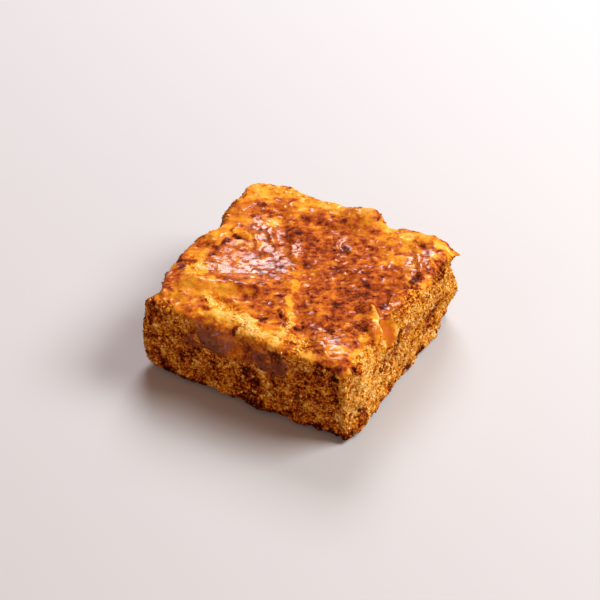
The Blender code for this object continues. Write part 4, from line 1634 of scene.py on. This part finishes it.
@dataclass(frozen=True)
class Grains:
    """Grains of crumb that stand out of the open crumb.

    Attributes:
        name: Name of the piece.
        count: How many grains.
        smallest: Half the size of the smallest.
        largest: Half the size of the largest.
        lift: How far the middle of a grain stands over the surface, in half sizes.
        tone: How much less or more a grain is browned than what lies under it, painted shade there
            included.
        tone_spread: How much grains differ in browning.
        seed: Seed of the scatter.
        small_bias: How much commoner small grains are, as the power of an even chance.
        block_side: Side of the block that a grain is made from, in half sizes.
        chipping: How much its corners differ.
        stretches: Least and greatest stretch of a grain along each of its axes.
        lift_spread: How much the lift differs, in half sizes.
        clearance: Least height of a grain over the table.
        lowest: Height above which grains sit.
        steepest: Least upward part of the normal where they sit.
        bare_crumb: Shares of crumb between which they start and are commonest.
    """

    name: str
    count: int
    smallest: float
    largest: float
    lift: float
    tone: float
    tone_spread: float
    seed: int
    small_bias: float = 2.0
    block_side: float = 1.2
    chipping: float = 0.24
    stretches: Span = (0.6, 1.5)
    lift_spread: float = 0.35
    clearance: float = 0.02
    lowest: float = 0.5
    steepest: float = -0.6
    bare_crumb: Span = (0.35, 0.9)

    def build(self, body: bpy.types.Object, finish: bpy.types.Material) -> bpy.types.Object:
        """Makes the grains.

        Args:
            body: The cake that they stand on.
            finish: The baked material.

        Returns:
            All grains as one piece.
        """
        rng = np.random.default_rng(self.seed)
        places, normals, browning_and_shading = self._seats(body.data, rng)
        block, faces = self._block()
        points = self._shapes(places, normals, block, rng)
        offsets = np.arange(self.count)[:, None, None] * len(block)
        corners = (faces[None] + offsets).reshape(-1, faces.shape[1])
        mesh = bpy.data.meshes.new(self.name)
        mesh.from_pydata((points * METRES_PER_MM).tolist(), [], corners.tolist())
        write_map(mesh, "browning_and_shading", np.repeat(browning_and_shading, len(block)))
        write_map(mesh, "crumb", np.ones(len(points)))
        for name in ("glaze", "calm", "dull_and_sheen"):
            write_map(mesh, name, np.zeros(len(points)))
        mesh.materials.append(finish)
        mesh.shade_smooth()
        return linked(self.name, mesh)

    def _seats(
        self, mesh: bpy.types.Mesh, rng: np.random.Generator
    ) -> tuple[np.ndarray, np.ndarray, np.ndarray]:
        """Picks where grains sit.

        Args:
            mesh: Mesh of the cake.
            rng: Source of chance.

        Returns:
            Place, normal and browning of each seat.
        """
        points = read_vectors(mesh.vertices, "co") * MM_PER_METRE
        normals = read_vectors(mesh.vertices, "normal")
        crumb, browning_and_shading = read_map(mesh, "crumb"), read_map(mesh, "browning_and_shading")
        within_reach = (points[:, 2] > self.lowest) & (normals[:, 2] > self.steepest)
        weight = np.where(within_reach, smooth_step(*self.bare_crumb, crumb), 0.0)
        chosen = rng.choice(len(points), self.count, replace=False, p=weight / weight.sum())
        tone = browning_and_shading[chosen] + rng.normal(self.tone, self.tone_spread, self.count)
        return points[chosen], normals[chosen], np.clip(tone, 0.0, 1.0)

    def _block(self) -> tuple[np.ndarray, np.ndarray]:
        """The block that every grain starts from.

        Returns:
            Its corners and its faces.
        """
        form = bmesh.new()
        bmesh.ops.create_cube(form, size=self.block_side)
        points = np.array([vertex.co[:] for vertex in form.verts])
        faces = np.array([[vertex.index for vertex in face.verts] for face in form.faces])
        form.free()
        return points, faces

    def _shapes(
        self, places: np.ndarray, normals: np.ndarray, block: np.ndarray, rng: np.random.Generator
    ) -> np.ndarray:
        """Chips, stretches and turns a block for every seat.

        Args:
            places: Where the grains sit.
            normals: The normals there.
            block: Corners of the block.
            rng: Source of chance.

        Returns:
            The corners of all grains, one a row.
        """
        growth = rng.random(self.count) ** self.small_bias
        half_size = self.smallest + (self.largest - self.smallest) * growth
        shapes = block[None] * (1.0 + self.chipping * rng.standard_normal((self.count, len(block), 1)))
        shapes *= rng.uniform(*self.stretches, (self.count, 1, 3)) * half_size[:, None, None]
        turns = np.linalg.qr(rng.standard_normal((self.count, 3, 3)))[0]
        shapes = np.einsum("gpi,gij->gpj", shapes, turns)
        lift = half_size * (self.lift + rng.uniform(-self.lift_spread, self.lift_spread, self.count))
        shapes += (places + normals * lift[:, None])[:, None]
        shapes[:, :, 2] = np.maximum(shapes[:, :, 2], self.clearance)
        return shapes.reshape(-1, 3)


GRAINS = (
    Grains("fine_grains", 15500, 0.12, 0.28, 0.10, -0.05, 0.16, 5),
    Grains("coarse_grains", 800, 0.30, 0.65, -0.30, -0.12, 0.18, 6),
)


@dataclass(frozen=True)
class Tabletop:
    """The plain pale floor under the cake.

    Attributes:
        name: Name of the floor.
        half_side_m: Half of its side.
        drop_m: How far it lies under the cake's flat underside.
        colour: Its colour.
        roughness: Its roughness.
        specular: How much it shines.
    """

    name: str = "pale_floor"
    half_side_m: float = 1.4
    drop_m: float = 0.00005
    colour: Colour = (0.54, 0.545, 0.545)
    roughness: float = 0.95
    specular: float = 0.1

    def build(self) -> bpy.types.Object:
        """Makes the floor.

        Returns:
            The floor.
        """
        side = self.half_side_m
        corners = [(-side, -side), (side, -side), (side, side), (-side, side)]
        mesh = bpy.data.meshes.new(self.name)
        mesh.from_pydata([(x, y, -self.drop_m) for x, y in corners], [], [(0, 1, 2, 3)])
        made = bpy.data.materials.new(self.name)
        made.use_nodes = True
        sockets = made.node_tree.nodes["Principled BSDF"].inputs
        sockets["Base Color"].default_value = (*self.colour, 1.0)
        sockets["Roughness"].default_value = self.roughness
        sockets["Specular IOR Level"].default_value = self.specular
        mesh.materials.append(made)
        floor = linked(self.name, mesh)
        return floor


@dataclass(frozen=True)
class SoftBox:
    """A square studio lamp.

    Attributes:
        name: Name of the lamp.
        azimuth: Plan direction from the cake to the lamp, in degrees from +X.
        elevation: Its height over the table, in degrees.
        distance_m: Its distance from the cake.
        side_m: Its side.
        watts: Its power.
        colour: Its colour.
    """

    name: str
    azimuth: float
    elevation: float
    distance_m: float
    side_m: float
    watts: float
    colour: Colour

    def build(self) -> bpy.types.Object:
        """Makes the lamp, turned to the cake.

        Returns:
            The lamp.
        """
        data = bpy.data.lights.new(self.name, "AREA")
        data.shape = "SQUARE"
        data.size = self.side_m
        data.energy = self.watts
        data.color = self.colour
        lamp = linked(self.name, data)
        level, turn = cos(radians(self.elevation)), radians(self.azimuth)
        toward = Vector((level * cos(turn), level * sin(turn), sin(radians(self.elevation))))
        lamp.location = toward * self.distance_m
        lamp.rotation_euler = toward.to_track_quat("Z", "Y").to_euler()
        return lamp


@dataclass(frozen=True)
class Studio:
    """Camera, lamps and room light.

    Attributes:
        azimuth: Turn of the camera round the cake, in degrees from straight in front.
        elevation: Its height over the table, in degrees.
        distance_m: Its distance from where it looks.
        look_at_m: The point of the table at the middle of its view.
        sensor_mm: Width of its sensor.
        lens_mm: Its focal length.
        lamps: The lamps.
        room_light: Strength of the even light from all round.
        room_colour: Colour of that light.
    """

    azimuth: float = 29.3
    elevation: float = 39.6
    distance_m: float = 0.6328
    look_at_m: Triple = (-0.00994, 0.01603, 0.0)
    sensor_mm: float = 36.0
    lens_mm: float = 120.0
    lamps: tuple[SoftBox, ...] = (
        SoftBox("key_lamp", 34.0, 46.0, 0.9, 0.46, 9.5, (1.0, 1.0, 1.0)),
        SoftBox("side_fill", -42.0, 10.0, 0.9, 0.4, 1.75, (1.0, 0.75, 0.62)),
        SoftBox("window", 115.0, 43.0, 0.9, 0.40, 6.4, (0.95, 0.94, 1.0)),
        SoftBox("front_glint", -115.0, 30.0, 0.9, 0.2, 0.4, (0.85, 0.93, 1.0)),
    )
    room_light: float = 0.255
    room_colour: Colour = (1.0, 0.525, 0.35)

    def build(self) -> None:
        """Sets up the camera, the lamps and the room light."""
        scene = bpy.context.scene
        scene.camera = self._camera()
        for lamp in self.lamps:
            lamp.build()
        room = bpy.data.worlds.new("room")
        room.use_nodes = True
        background = room.node_tree.nodes["Background"]
        background.inputs["Color"].default_value = (*self.room_colour, 1.0)
        background.inputs["Strength"].default_value = self.room_light
        scene.world = room
        scene.view_settings.view_transform = "Standard"

    def _camera(self) -> bpy.types.Object:
        """Makes the camera, turned to the cake.

        Returns:
            The camera.
        """
        data = bpy.data.cameras.new("camera")
        data.sensor_width = self.sensor_mm
        data.lens = self.lens_mm
        camera = linked("camera", data)
        turn, lift = radians(self.azimuth), radians(self.elevation)
        back = Vector((sin(turn) * cos(lift), -cos(turn) * cos(lift), sin(lift)))
        camera.location = Vector(self.look_at_m) + back * self.distance_m
        camera.rotation_euler = back.to_track_quat("Z", "Y").to_euler()
        return camera


def register(piece: bpy.types.Object) -> None:
    """Lets a piece ride on the cake and logs its size.

    Args:
        piece: A finished piece.
    """
    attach(piece, BODY)
    triangles = sum(len(face.vertices) - 2 for face in piece.data.polygons)
    size = [round(side * MM_PER_METRE, 1) for side in piece.dimensions]
    LOG.info("%s: %d triangles, %s mm", piece.name, triangles, size)


def main() -> None:
    """Builds the cake, its grains of crumb and the studio."""
    logging.basicConfig(level=logging.INFO, format="%(message)s", stream=sys.stdout)
    finish = BakedFinish().material()
    body = CakeBody().build(finish)
    register(body)
    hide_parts(NODE)
    for grains in GRAINS:
        register(grains.build(body, finish))
    Tabletop().build()
    Studio().build()


if __name__ == "__main__":
    main()
